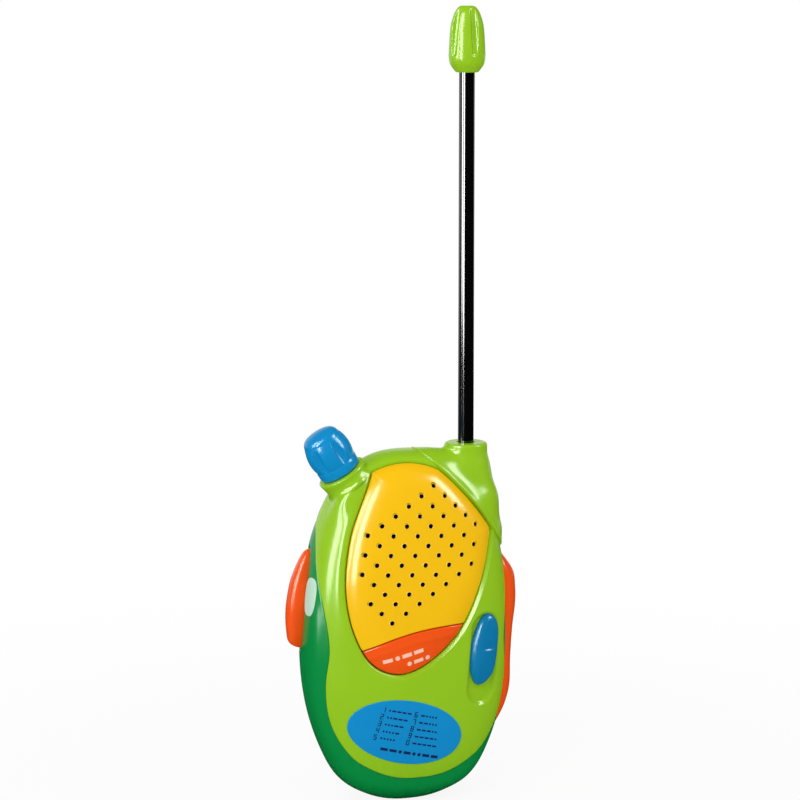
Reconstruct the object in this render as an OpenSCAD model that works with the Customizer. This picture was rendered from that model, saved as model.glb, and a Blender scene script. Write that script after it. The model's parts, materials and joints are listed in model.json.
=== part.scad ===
// Toy walkie talkie: a pebble-shaped two-tone case with a fixed rod antenna, a speaker grille,
// a code key, a sliding power switch, a side talk button and a tilted volume knob.
// Units are millimetres. +Z is up along the antenna, the front faces -Y,
// and the origin is the middle of the small flat foot under the case.

/* [Body] */
// Width of the case at its widest level
body_w = 77; // [75:0.5:81]
// Height of the case from its foot to its crown
body_h = 130.5; // [129:0.5:135]
// Height of the widest level above the foot
waist_h = 61.5; // [60:0.5:64]
// Depth of the case in front of its widest section
front_depth = 24.5; // [24:0.25:27]
// Depth of the case behind its widest section
back_depth = 12; // [11.5:0.25:14]
// Fullness of the front outline, 2 is an ellipse
outline_power = 2.42; // [2.3:0.02:2.6]
// Fullness of the crowned front, 2 is an ellipse
crown_power = 3; // [2.8:0.1:3.2]
// Radius of the edge round the flat back
back_edge = 8; // [7:0.5:9]
// Wall of the mouldings
wall = 2.2; // [1.8:0.1:2.6]
// How far the foot is flattened into the round base
foot_flat = 0.8; // [0.5:0.1:1.2]

/* [Fits] */
// Seam round panels and moving caps
seam_gap = 0.35; // [0.25:0.05:0.5]
// Running clearance round shafts and plungers
run_gap = 0.05; // [0.03:0.01:0.1]
// Loose clearance round screws and parts laid in a bay
loose_gap = 0.3; // [0.2:0.05:0.5]
// Width of the hidden flange that holds a panel behind the case wall
flange_w = 1.5; // [1:0.1:2]
// Thickness of ribs, bay walls and flanges
rib = 1.4; // [1.2:0.1:1.8]

/* [Speaker grille] */
// How far the grille and the code key reach behind the inside of the case wall
panel_web = 0.4; // [0.2:0.1:0.8]
// How far the grille and the code key stand proud of the case
panel_proud = 0.5; // [0.2:0.1:1]
// Diameter of the sound holes
hole_d = 1.9; // [1.4:0.1:2.4]
// Distance between holes along a row
hole_pitch = 9.1; // [8.9:0.05:9.3]
// Distance between rows
row_pitch = 3.48; // [3.4:0.02:3.54]
// Sideways step from row to row that leans the pattern
row_lean = 0.64; // [0.5:0.02:0.8]
// Drop along half a pitch that tilts the rows
row_tilt = 0.24; // [0:0.02:0.4]
// Diameter of the speaker
speaker_d = 42; // [40:0.5:42]
// Depth of the speaker behind its rim
speaker_depth = 13.3; // [12.5:0.1:14]

/* [Controls] */
// Travel of the code key
key_travel = 1.2; // [0.6:0.1:1.4]
// Length of the talk button up the side
talk_l = 37; // [32:0.5:38]
// Width of the talk button
talk_w = 10; // [8:0.5:11]
// How far the talk button stands out of the side
talk_reach = 6.2; // [4.5:0.1:7]
// Travel of the talk button
talk_travel = 2; // [1:0.1:2.2]
// Length of the power slider
slider_l = 27; // [24:0.5:28]
// Width of the power slider
slider_w = 12; // [10:0.5:13]
// Travel of the power slider
slider_travel = 7; // [5:0.5:8]
// Depth of the channel that the power slider runs in
channel_depth = 1.8; // [1.4:0.1:2.2]
// Diameter of the volume knob
knob_d = 16.8; // [15:0.2:18]
// Height of the volume knob
knob_h = 16; // [15:0.2:18]
// Lean of the volume knob to the left
knob_tilt = 32; // [28:0.5:36]
// Diameter of the collar under the volume knob
collar_d = 18.5; // [18:0.5:20]
// Diameter of the volume control's shaft
shaft_d = 6; // [5:0.1:6.35]

/* [Antenna] */
// Diameter of the antenna rod
rod_d = 5.8; // [5:0.1:6.4]
// Height of the antenna tip's crown above the foot
antenna_top = 291.5; // [240:0.5:300]
// Distance of the antenna to the right of the middle
antenna_x = 23.5; // [22.5:0.25:24.5]
// Diameter of the antenna's boss on the shoulder
boss_d = 15.8; // [14:0.2:17]
// Height of the boss above the crown of the case
boss_rise = 1.6; // [1:0.1:4]
// Length of the antenna tip
tip_l = 23.8; // [20:0.2:28]
// Largest diameter of the antenna tip
tip_d = 13.6; // [11:0.2:15]

/* [Grip] */
// How far the finger grip's upper swell stands out of the side
grip_reach = 5.6; // [4:0.1:7]
// Depth of the finger grip along the side
grip_w = 17; // [14:0.5:18]

/* [Power] */
// Width of the block battery
battery_w = 26.5; // [25:0.1:27]
// Length of the block battery without its terminals
battery_l = 48.5; // [46:0.1:49]
// Thickness of the block battery
battery_t = 17.5; // [16:0.1:17.8]
// Thickness of the battery door
door_t = 2; // [1.8:0.1:2.2]
// Radius of the battery door's hinge pins
door_pin_r = 0.7; // [0.5:0.05:0.75]

/* [Hidden] */
$fn = 48;

// Facets of the lofted case: points round it, rings over its front and rings round its back edge
around = 64;
front_rings = 9;
back_rings = 4;
far = 400;

// Case
half_w = body_w / 2;
top_half = body_h - waist_h;
base_half = waist_h + foot_flat;
inner_back = back_depth - wall;

// Place on the face, from shares of the half width and of the height above or below the waist
function on_face(p) = [p.x * half_w, waist_h + p.y * (p.y > 0 ? top_half : base_half)];
function face_points(shares) = [for (p = shares) on_face(p)];

// Parting line on the side of the case: depth against height, which is a share above or below the waist
parting_shares = [
    [-21, -1.32], [-18.8, -0.824], [-16.4, -0.666], [-14, -0.449], [-14.5, -0.24], [-16.4, 0.007],
    [-12.8, 0.254], [-3.5, 0.514], [5, 0.659], [6.5, 0.819], [6.5, 1.29]
];
parting_line = [for (p = parting_shares) [p.x, on_face([0, p.y]).y]];

// Seams and openings of the face
seam_line = face_points([[0.052, 1.022], [0.519, 0.767], [0.948, 0.442]]);
seam_steps = 20;
seam_from = 4;
seam_to = 15;
grille_side = face_points([
    [0.579, 0.312], [0.358, 0.068], [0.065, -0.104], [-0.234, -0.169], [-0.519, -0.096],
    [-0.691, 0.094], [-0.748, 0.326], [-0.688, 0.558], [-0.577, 0.725], [-0.455, 0.914]
]);
grille_crown = on_face([-0.091, 0.965]);
hole_start = on_face([0.135, 0.838]);
// First and last sound hole on each slanting line of holes
hole_lines = [[0, 5], [0, 6], [0, 7], [0, 7], [0, 8], [1, 8], [2, 8]];
panel_t = wall + panel_web;
label_mid = on_face([-0.169, -0.516]);
label_half = [22, 12];
label_tilt = -13.5;
label_t = 0.25;

// Battery bay, from the back of the case forwards
bay_base = 22;
snap_h = 4.6;
bay_back = back_depth - door_t;
bay_floor = bay_back - battery_t - 2 * loose_gap;
bay_top = bay_base + battery_l + snap_h + 3 * loose_gap;
bay_half_w = battery_w / 2 + loose_gap;
door_half_w = bay_half_w + 2.4;
door_base = bay_base + 1;
door_top = bay_base + battery_l + 1;
door_tail_r = 5.5;
door_tail_z = bay_base - 3.5;
door_screw_z = bay_base - 4.1;
door_hinge = [back_depth - door_t / 2, door_top - door_t / 2];
door_pin_l = 1.6;
battery_y = bay_floor + loose_gap + battery_t / 2;
battery_z = bay_base + loose_gap;
terminal_x = 6.35;
terminal_r = 2.9;

// Speaker stack above the battery bay, from the front backwards; its seat clears the curved grille
speaker_mid = [0.5, bay_top + 13];
speaker_rim_w = 2.4;
seat_clear = 0.2;
speaker_seat_y = seat_clear + max([
    for (a = [0 : 10 : 350])
        crown_y(speaker_mid.x + speaker_d / 2 * cos(a), speaker_mid.y + speaker_d / 2 * sin(a), panel_t)
]);
gasket_t = 0.8;
speaker_y = speaker_seat_y + gasket_t;
magnet_d = 20;
magnet_t = 5;

// Post of the grille's screw, just outside the speaker
grille_post_turn = 154.4;
grille_post = speaker_mid + (speaker_d / 2 + 4.5) * [cos(grille_post_turn), sin(grille_post_turn)];

// Seam between the grille and the code key, close under the speaker
speaker_low = speaker_mid.y - speaker_d / 2;
key_seam = [
    [-0.779 * half_w, speaker_low - 10.8], [-0.13 * half_w, speaker_low - 1.4], [0.519 * half_w, speaker_low]
];

// Boards
board_t = 1.6;
key_board_y = bay_floor - rib - board_t;
main_board_y = inner_back - 4.2 - board_t;
main_board_z = bay_top + rib + 0.8;
main_board_h = body_h - 17.3 - main_board_z;
main_board_half_w = -grille_post.x - 5;
board_post_x = main_board_half_w - 2.5;
board_posts = [
    [-board_post_x, main_board_z + 4], [board_post_x, main_board_z + 4], [0, main_board_z + main_board_h - 4]
];
board_screw_r = 0.9;
lead_r = 0.6;
lead_straight = 2.5;
lead_ends = [11.4, 8.6];
coil_w = 7;
coil_h = 5;
coil_core_r = 1.6;
coil_x = main_board_half_w - coil_w / 2 - 0.2;
coil_z = main_board_z + main_board_h - 15;
capacitor_r = 2.5;
capacitor_h = 5.5;
capacitor_x = main_board_half_w - 7;
capacitor_z = main_board_z + main_board_h - 4;
chip = [12, 2.4, 6];
chip_z = main_board_z + 6.4;
chip_lift = 0.4;
chip_legs = 7;
leg_pitch = 1.6;
leg_w = 0.6;

// Case screws, as width and height: three for the front shell, and one for the grille
screw_posts = concat(face_points([[-0.532, -0.634], [0.532, -0.634], [0.727, 0.297]]), [grille_post]);
post_joint_y = -1;
screw_seat_y = inner_back - 3.8;
screw_r = 1.1;
screw_head_r = 2.5;
screw_head_h = 1.6;

// Volume control
collar_mid = on_face([-0.67, 0.922]);
collar_y = -4;
collar_l = 12;
bushing_r = shaft_d / 2 + 0.9;
nut_h = 2.2;
nut_af = 2 * bushing_r + 3.2;
control_r = 5;
control_h = 6;
knob_flutes = 6;
flute_r = 1.3;
flute_ring = 26;
flute_depth = 0.8;
shaft_h = collar_l + control_h - 2.2 + knob_h - 4;

// Talk button on the left
talk_y = 3.2;
talk_z = on_face([0, 0.217]).y;
talk_plunger_z = main_board_z + 3.2;
talk_plunger_y = main_board_y - 2.6;
talk_pad_x = wall + rib + 1 - side_x(talk_plunger_y, talk_plunger_z);
talk_flange_x = talk_pad_x + 1.5;
talk_switch_x = talk_pad_x + 4.5;
talk_switch_l = 8;

// Power slider on the right of the face
slider_mid = on_face([0.631, -0.063]);
slider_x = slider_mid.x;
slider_z = slider_mid.y;
slider_lean = 4.3;
slider_turn = 18;
channel_r = slider_w / 2 + 0.6;
slider_proud = 2.4;
slider_stem_w = 2.6;
slider_stem_l = 6;
slider_foot_t = 1.3;
// Lever of the slide switch where it enters the slider's foot, and the height of the switch on its board
lever_pos = let (deep = channel_depth + rib + loose_gap + 0.6) [
    slider_x - deep * sin(slider_turn) * cos(slider_lean),
    crown_y(slider_x, slider_z) + deep * cos(slider_turn),
    slider_z + deep * sin(slider_turn) * sin(slider_lean)
];
slide_switch_h = key_board_y - lever_pos.y - 2.3;
slot_depth = 0.4 * slide_switch_h;

// Code key
key_mid = key_seam[1] - [0, 7.1];
key_stem_r = 2.4;
key_top_y = key_board_y - 5;
key_board_corner = key_mid - [9, 12.5];
key_board_w = slider_x + 6.7 - key_board_corner.x;
key_board_h = 23;
key_stud_r = 1.2;
key_studs = [for (x = [4, 24]) key_board_corner + [x, 3]];
plunger_r = 1.5;
spring_r = 2.3;

// Talk button seen from the front: share of its length, and share of its reach
talk_profile = [
    [-0.51, -0.3], [-0.44, 0.72], [-0.3, 0.95], [-0.1, 1], [0.1, 0.87], [0.25, 0.65], [0.38, 0.28],
    [0.51, -0.4]
];
// Finger grip seen from the front: share of the height above or below the waist, and share of its reach
grip_profile = [
    [-0.637, -0.2], [-0.52, 0.45], [-0.42, 0.68], [-0.329, 0.72], [-0.169, 0.55], [0.007, 0.68],
    [0.138, 0.92], [0.225, 1], [0.319, 0.84], [0.428, -0.2]
];
grip_y = -1;
grip_pegs = [for (share = [-0.345, 0.21]) on_face([0, share]).y];
grip_peg_r = 2;

// Labels
talk_label_mid = [-6.3, talk_z + 2.3];
talk_label_half = [3.8, 7];

// Antenna
antenna_y = -4;
fairing_mid = on_face([0.683, 0.572]);
fairing_y = -6;
fairing_r = 10.5;
fairing_rise = 6;
fairing_drop = 12;
// Crest of the shoulder on the boss's left, and how far the boss stands above it
crest_mid = on_face([0.26, 0.873]);
crest_r = 8.5;
crest_drop = 1.8;
boss_top = body_h + boss_rise;
rod_base = body_h - 14;
rod_into_tip = 12;
tip_flutes = 6;
lug_r = rod_d / 2 + 1.4;
lug_t = 0.8;

function signed_pow(v, p) = sign(v) * pow(abs(v), p);

// Point on the case outline scaled by s, at an angle round the middle of the waist
function outline_at(angle, inset, s) = [
    s * (half_w - inset) * signed_pow(cos(angle), 2 / outline_power),
    waist_h + s * ((angle < 180 ? top_half : base_half) - inset) * signed_pow(sin(angle), 2 / outline_power)
];

// How far out a point of the face lies: 0 at the middle of the waist, 1 on the outline
function reach(x, z, inset) = pow(
    pow(abs(x) / (half_w - inset), outline_power)
    + pow(abs(z - waist_h) / ((z > waist_h ? top_half : base_half) - inset), outline_power),
    1 / outline_power
);

// Depth of the crowned front at a point of the face
function crown_y(x, z, inset = 0) =
    -(front_depth - inset) * pow(max(0, 1 - pow(reach(x, z, inset), crown_power)), 1 / crown_power);

// Smooth curve through points, with the ends' own tangents
function through(p, steps) = [
    for (i = [0 : len(p) - 2]) for (k = [0 : steps - 1])
        let (a = p[max(i - 1, 0)], b = p[i], c = p[i + 1], d = p[min(i + 2, len(p) - 1)], t = k / steps)
        b + t / 2 * (c - a + t * (2 * a - 5 * b + 4 * c - d + t * (3 * b - a - 3 * c + d))),
    p[len(p) - 1]
];

// Arc from a to c through b
function arc_through(a, b, c, steps) =
    let (
        d = 2 * (a.x * (b.y - c.y) + b.x * (c.y - a.y) + c.x * (a.y - b.y)),
        m = [
            ((a * a) * (b.y - c.y) + (b * b) * (c.y - a.y) + (c * c) * (a.y - b.y)) / d,
            ((a * a) * (c.x - b.x) + (b * b) * (a.x - c.x) + (c * c) * (b.x - a.x)) / d
        ],
        r = norm(a - m),
        start = atan2(a.y - m.y, a.x - m.x),
        sweep = atan2(c.y - m.y, c.x - m.x) - start,
        turn = sweep > 180 ? sweep - 360 : sweep < -180 ? sweep + 360 : sweep
    )
    [for (k = [0 : steps]) m + r * [cos(start + turn * k / steps), sin(start + turn * k / steps)]];

// Closed outline moved outwards along its normals, points run clockwise
function grown(p, by) = [
    for (i = [0 : len(p) - 1])
        let (a = p[(i + len(p) - 1) % len(p)], c = p[(i + 1) % len(p)], t = (c - a) / norm(c - a))
        p[i] + by * [-t.y, t.x]
];

function superellipse(half, power, steps) = [
    for (k = [0 : steps - 1])
        let (a = 360 * k / steps)
        [half.x * signed_pow(cos(a), 2 / power), half.y * signed_pow(sin(a), 2 / power)]
];

function seam() = arc_through(seam_line[0], seam_line[1], seam_line[2], seam_steps);

// Outline of the grille and the code key together: round the left and under, over the top, along the seam
function grille_outline() =
    let (s = seam(), side = concat([s[seam_to]], grille_side), last = side[len(side) - 1])
    concat(
        through(side, 5),
        [for (k = [1 : 5]) arc_through(last, grille_crown, s[seam_from], 6)[k]],
        [for (k = [seam_from : seam_to - 1]) s[k]]
    );

function band_faces(first, count, rings) = [
    for (k = [0 : rings - 2]) for (i = [0 : count - 1])
        let (a = first + k * count + i, b = first + k * count + (i + 1) % count)
        each [[a, b, b + count], [a, b + count, a + count]]
];

// Solid through closed rings of equally many points, the first and last ring are flat
module loft(rings) {
    count = len(rings[0]);
    last = count * (len(rings) - 1);
    polyhedron([for (r = rings) each r], concat(
        [[for (i = [count - 1 : -1 : 0]) i]],
        band_faces(0, count, len(rings)),
        [[for (i = [0 : count - 1]) last + i]]
    ));
}

// The whole case as one solid, its skin moved inwards by inset
module pebble(inset) {
    rings = concat(
        [for (k = [1 : front_rings]) let (a = 90 * k / front_rings)
            [pow(sin(a), 2 / crown_power), -(front_depth - inset) * pow(cos(a), 2 / crown_power)]],
        [for (k = [1 : back_rings]) let (a = 90 * k / back_rings)
            [1 - (back_edge - inset) * (1 - cos(a)) / (half_w - inset), (back_depth - inset) * sin(a)]]
    );
    points = [
        [0, inset - front_depth, waist_h],
        for (r = rings) for (i = [0 : around - 1])
            let (p = outline_at(360 * i / around, inset, r[0])) [p.x, r[1], p.y]
    ];
    polyhedron(points, concat(
        [for (i = [0 : around - 1]) [0, 1 + (i + 1) % around, 1 + i]],
        band_faces(1, around, len(rings)),
        [[for (i = [0 : around - 1]) 1 + around * (len(rings) - 1) + i]]
    ));
}

// An outline on the face, carried from depth y0 back to depth y1
module from_face(y0, y1) {
    translate([0, y1, 0]) rotate([90, 0, 0]) linear_extrude(y1 - y0) children();
}

// A profile seen from the side, as depth and height, carried across from x0 to x1
module from_side(x0, x1) {
    translate([x0, 0, 0]) rotate([90, 0, 90]) linear_extrude(x1 - x0) children();
}

module ahead_of_parting() {
    from_side(-far / 2, far / 2)
        polygon(concat([[-far, -far], [parting_line[0].x, -far]], through(parting_line, 5), [[-far, far]]));
}

module over_seam() {
    from_face(-far / 2, far / 2)
        polygon(concat(seam(), [[far, seam_line[2].y], [far, far], [seam_line[0].x, far]]));
}

module under_key_seam(lift) {
    translate([0, 0, lift]) from_face(-far / 2, far / 2)
        polygon(concat([[-30, 0]], arc_through(key_seam[0], key_seam[1], key_seam[2], 10), [[20, 0]]));
}

module bore_along_y(pos, r, y0, y1) {
    translate([pos.x, y0, pos.y]) rotate([-90, 0, 0]) cylinder(r = r, h = y1 - y0);
}

module bore_along_x(y, z, r, x0, x1) {
    translate([x0, y, z]) rotate([0, 90, 0]) cylinder(r = r, h = x1 - x0);
}

module at_collar() {
    translate([collar_mid.x, collar_y, collar_mid.y]) rotate([0, -knob_tilt, 0]) children();
}

module at_slider() {
    translate([slider_x, crown_y(slider_x, slider_z), slider_z])
        rotate([0, slider_lean, 0]) rotate([0, 0, slider_turn]) children();
}

module at_antenna(z) {
    translate([antenna_x, antenna_y, z]) children();
}

// Channel outline of the power slider: as long as the slider and its travel
module channel(margin) {
    reach_up = slider_l / 2 + 0.6 - channel_r;
    union() {
        translate([0, reach_up]) circle(r = channel_r + margin);
        translate([0, -reach_up - slider_travel]) circle(r = channel_r + margin);
        translate([-channel_r - margin, -reach_up - slider_travel])
            square([2 * (channel_r + margin), 2 * reach_up + slider_travel]);
    }
}

module front_posts(which) {
    for (i = which) bore_along_y(screw_posts[i], screw_r + 1.9, -front_depth, post_joint_y);
}

module front_post_bores(which) {
    for (i = which) bore_along_y(screw_posts[i], screw_r + run_gap, post_joint_y - 11, post_joint_y + 1);
}

module collar() {
    r = collar_d / 2;
    neck = arc_through([r - 0.2, -2.4], [r - 0.7, -5.2], [r, -collar_l], 8);
    at_collar() rotate_extrude() polygon(concat(
        [[bushing_r + run_gap, 0], [r - 0.5, 0], [r, -0.5], [r, -1.8]],
        neck,
        [[bushing_r + run_gap, -collar_l]]
    ));
}

module front_shell() {
    color("#8ec426") difference() {
        union() {
            difference() {
                intersection() {
                    pebble(0);
                    ahead_of_parting();
                }
                pebble(wall);
                over_seam();
                from_face(-far / 2, 0) polygon(grille_outline());
            }
            intersection() {
                pebble(wall / 2);
                ahead_of_parting();
                at_slider() from_face(-4, channel_depth + rib) channel(rib);
            }
            intersection() {
                pebble(wall / 2);
                front_posts([0, 1, 2]);
                union() {
                    pebble(wall + seam_gap);
                    ahead_of_parting();
                }
            }
            collar();
        }
        at_slider() from_face(-far / 2, channel_depth) channel(0);
        at_slider() slider_slot();
        front_post_bores([0, 1, 2]);
        at_collar() translate([0, 0, -collar_l - 1]) cylinder(r = bushing_r + run_gap, h = far);
    }
}

module slider_slot() {
    half_l = slider_stem_l / 2 + seam_gap;
    half_w = slider_stem_w / 2 + loose_gap;
    translate([-half_w, 0, -half_l - slider_travel]) cube([2 * half_w, 10, 2 * half_l + slider_travel]);
}

module antenna_shoulder() {
    color("#8ec426") difference() {
        intersection() {
            union() {
                difference() {
                    union() {
                        pebble(0);
                        shoulder_fairing();
                        at_antenna(rod_base) cylinder(d = boss_d, h = boss_top - rod_base);
                    }
                    pebble(wall);
                }
                at_antenna(rod_base) cylinder(r = rod_d / 2 + 2.2, h = boss_top - rod_base - 2);
            }
            ahead_of_parting();
            over_seam();
        }
        at_antenna(rod_base - 1) cylinder(r = rod_d / 2 + run_gap, h = far);
        at_antenna(rod_base - 6) cylinder(r = lug_r + loose_gap, h = 6);
    }
}

// The swelling that carries the boss down into the right side of the case, and its crest on the left
module shoulder_fairing() {
    hull() {
        at_antenna(boss_top - fairing_drop) cylinder(d = boss_d, h = 3, $fn = 32);
        for (rise = [0, fairing_rise])
            translate([fairing_mid.x, fairing_y, fairing_mid.y + rise]) sphere(r = fairing_r, $fn = 32);
    }
    hull() {
        at_antenna(boss_top - fairing_drop) cylinder(d = boss_d, h = fairing_drop - crest_drop, $fn = 32);
        translate([crest_mid.x, antenna_y, crest_mid.y]) sphere(r = crest_r, $fn = 32);
    }
}

// A curved plate that stands proud of the case, cut to the outline that is given
module panel() {
    intersection() {
        difference() {
            pebble(-panel_proud);
            pebble(panel_t);
        }
        children();
    }
}

// Rim behind the case wall that keeps the grille and the code key from falling out
module hidden_flange() {
    intersection() {
        difference() {
            pebble(wall);
            pebble(wall + rib);
        }
        difference() {
            from_face(-far / 2, 0) polygon(grown(grille_outline(), flange_w));
            from_face(-far / 2, 0) polygon(grown(grille_outline(), -flange_w));
            at_slider() from_face(-4, channel_depth + rib + loose_gap) channel(rib + loose_gap);
        }
    }
}

module speaker_grille() {
    color("#fcc405") difference() {
        union() {
            difference() {
                union() {
                    panel() from_face(-far / 2, 0) polygon(grown(grille_outline(), -seam_gap));
                    hidden_flange();
                }
                under_key_seam(seam_gap / 2);
                at_collar() translate([0, 0, -collar_l - 1])
                    cylinder(r = collar_d / 2 + seam_gap, h = collar_l);
            }
            intersection() {
                pebble(panel_t / 2);
                from_face(-far / 2, 0) polygon(grown(grille_outline(), -seam_gap));
                union() {
                    difference() {
                        bore_along_y(speaker_mid, speaker_d / 2, -front_depth, speaker_seat_y);
                        bore_along_y(speaker_mid, speaker_d / 2 - speaker_rim_w, -far / 2, far / 2);
                    }
                    front_posts([3]);
                }
            }
        }
        for (i = [0 : len(hole_lines) - 1]) for (j = [hole_lines[i][0] : hole_lines[i][1]])
            bore_along_y(hole_at(i + j, i - j), hole_d / 2, -far / 4, -2);
        front_post_bores([3]);
    }
}

// Centre of the sound hole in a row, so many half pitches from the pattern's middle line
function hole_at(row, place) = hole_start
    + [place * hole_pitch / 2 - row * row_lean, -row * row_pitch - place * row_tilt];

module code_key() {
    color("#ec5416") union() {
        panel() intersection() {
            from_face(-far / 2, 0) polygon(grown(grille_outline(), -seam_gap));
            under_key_seam(-seam_gap / 2);
        }
        intersection() {
            hidden_flange();
            under_key_seam(-seam_gap / 2);
        }
        intersection() {
            pebble(panel_t / 2);
            bore_along_y(key_mid, key_stem_r, -front_depth, key_top_y);
        }
    }
}

// A thin label that follows the skin of the case inside the solid that is given
module label() {
    intersection() {
        difference() {
            pebble(-label_t);
            pebble(0);
        }
        children();
    }
}

module code_label() {
    color("#0082c8") label()
        from_face(-far / 2, 0) translate(label_mid) rotate(label_tilt)
            polygon(superellipse(label_half, 2.05, 48));
}

module talk_label() {
    color("#bee1cd") label()
        from_side(-far / 2, 0) translate(talk_label_mid) polygon(superellipse(talk_label_half, 2.3, 36));
}

// Scale of the case section at a depth, and the case's half width at a depth and height
function section_at(y) = y < 0
    ? pow(1 - pow(-y / front_depth, crown_power), 1 / crown_power)
    : 1 - back_edge * (1 - sqrt(1 - pow(y / back_depth, 2))) / half_w;
function side_x(y, z) =
    let (s = section_at(y), rise = abs(z - waist_h) / (s * (z > waist_h ? top_half : base_half)))
    s * half_w * pow(max(0, 1 - pow(rise, outline_power)), 1 / outline_power);

// A swelling on the right side of the case: profile pairs are height and reach, wide is its depth
module side_swell(profile, mid_y, wide, power) {
    steps = 12;
    swell_sink = 0.6;
    swell_base = half_w - 14;
    mid_z = (profile[0].x + profile[len(profile) - 1].x) / 2;
    half_l = (profile[len(profile) - 1].x - profile[0].x) / 2;
    loft([
        for (p = profile)
            let (
                end = min(0.98, abs(p.x - mid_z) / half_l),
                half = wide / 2 * pow(1 - pow(end, 3), 1 / 3)
            )
            concat(
                [for (k = [0 : steps])
                    let (
                        u = cos(180 * k / steps),
                        y = mid_y + half * u,
                        rise = pow(max(0, 1 - pow(abs(u), power)), 1 / power)
                    )
                    [side_x(y, p.x) - swell_sink + (p.y + swell_sink) * rise, y, p.x]],
                [[swell_base, mid_y - half, p.x], [swell_base, mid_y + half, p.x]]
            )
    ]);
}

module finger_grip() {
    profile = through([for (p = grip_profile) [on_face([0, p.x]).y, p.y * grip_reach]], 4);
    color("#ec5416") union() {
        difference() {
            side_swell(profile, grip_y, grip_w, 2.6);
            pebble(0);
        }
        for (z = grip_pegs)
            bore_along_x(grip_y, z, grip_peg_r, side_x(grip_y, z) - wall - 2, side_x(grip_y, z) + 1);
    }
}

module antenna_rod() {
    color("#0a0a0a") at_antenna(0) difference() {
        translate([0, 0, rod_base]) cylinder(d = rod_d, h = antenna_top - tip_l + rod_into_tip - rod_base);
        translate([0, 0, rod_base - 1]) cylinder(r = screw_r + run_gap, h = 10);
    }
}

module antenna_screw() {
    color("#c0c0c0") at_antenna(rod_base) union() {
        translate([0, 0, -lug_t]) cylinder(r = lug_r, h = lug_t);
        translate([0, 0, -lug_t - screw_head_h]) cylinder(r = screw_head_r, h = screw_head_h);
        translate([0, 0, -1]) cylinder(r = screw_r, h = 9);
    }
}

module antenna_tip() {
    r = tip_d / 2;
    body = concat(
        arc_through([r * 0.62, 0], [r * 0.88, tip_l * 0.12], [r, tip_l * 0.24], 5),
        arc_through([r, tip_l * 0.25], [r * 0.9, tip_l * 0.56], [r * 0.72, tip_l * 0.77], 8),
        arc_through([r * 0.71, tip_l * 0.78], [r * 0.53, tip_l * 0.9], [r * 0.28, tip_l], 5),
        [[0, tip_l], [0, 0]]
    );
    color("#8ec426") at_antenna(antenna_top - tip_l) difference() {
        rotate_extrude() polygon(body);
        translate([0, 0, -1]) cylinder(r = rod_d / 2 + run_gap, h = rod_into_tip + 1);
        for (k = [0 : tip_flutes - 1]) rotate(360 * (k + 0.5) / tip_flutes)
            translate([r + 1.9, 0, tip_l * 0.35]) rotate([0, -9, 0]) cylinder(r = 2.6, h = tip_l);
    }
}

module volume_control() {
    color("#b0b4b8") at_collar() difference() {
        union() {
            translate([0, 0, -collar_l - control_h]) cylinder(r = control_r, h = control_h);
            translate([0, 0, -collar_l - 1]) cylinder(r = bushing_r, h = collar_l + 1 + nut_h + 0.6);
        }
        translate([0, 0, -collar_l - control_h + 2]) cylinder(r = shaft_d / 2 + run_gap, h = far);
    }
}

module volume_nut() {
    color("#c8c8c8") at_collar() difference() {
        cylinder(r = nut_af / 2 / cos(30), h = nut_h, $fn = 6);
        translate([0, 0, -1]) cylinder(r = bushing_r + run_gap, h = nut_h + 2);
    }
}

// Shaft with a flat on its upper end, and room for it when clear is not 0
module shaft_form(clear) {
    difference() {
        translate([0, 0, -collar_l - control_h + 2.2]) cylinder(r = shaft_d / 2 + clear, h = shaft_h);
        translate([shaft_d * 0.34 + clear, -far / 2, nut_h + 2]) cube(far);
    }
}

module volume_shaft() {
    color("#d0d0d0") at_collar() shaft_form(0);
}

module volume_knob() {
    r = knob_d / 2;
    body = concat(
        [[r - 0.65, seam_gap], [r - 0.6, knob_h * 0.175]],
        arc_through([r - 0.45, knob_h * 0.2], [r, knob_h * 0.44], [r - 1.1, knob_h * 0.81], 10),
        arc_through([r - 1.2, knob_h * 0.82], [r - 2.2, knob_h * 0.93], [r - 3.8, knob_h * 0.985], 5),
        [[0, knob_h], [0, seam_gap]]
    );
    color("#0082c8") at_collar() difference() {
        rotate_extrude() polygon(body);
        translate([0, 0, -1]) cylinder(r = nut_af / 2 / cos(30) + loose_gap, h = nut_h + 2.2);
        shaft_form(run_gap);
        for (k = [0 : knob_flutes - 1]) rotate(360 * (k + 0.5) / knob_flutes)
            translate([r + flute_ring + flute_r - flute_depth, 0, knob_h * 0.48])
                rotate([90, 0, 0]) rotate_extrude() translate([flute_ring, 0]) circle(r = flute_r);
    }
}

module talk_outline(margin) {
    translate([talk_y, talk_z])
        polygon(superellipse([talk_w / 2 + margin, talk_l / 2 + margin], 2.6, 48));
}

module talk_button() {
    profile = through([for (p = talk_profile) [talk_z + p.x * talk_l, p.y * talk_reach]], 4);
    color("#ec5416") union() {
        difference() {
            intersection() {
                mirror([1, 0, 0]) side_swell(profile, talk_y, 1.3 * talk_w, 2.4);
                from_side(-far / 2, 0) talk_outline(0);
            }
            pebble(wall + rib);
        }
        intersection() {
            difference() {
                pebble(wall);
                pebble(wall + rib);
            }
            from_side(-far / 2, talk_flange_x) talk_outline(flange_w);
        }
        intersection() {
            bore_along_x(talk_plunger_y, talk_plunger_z, spring_r + 0.8, -half_w, talk_pad_x);
            pebble(wall + rib / 2);
        }
    }
}

module talk_plunger() {
    color("#f0f0f0") bore_along_x(talk_plunger_y, talk_plunger_z, plunger_r, talk_pad_x,
        talk_switch_x + talk_switch_l - 1 - talk_travel - 0.5);
}

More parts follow.
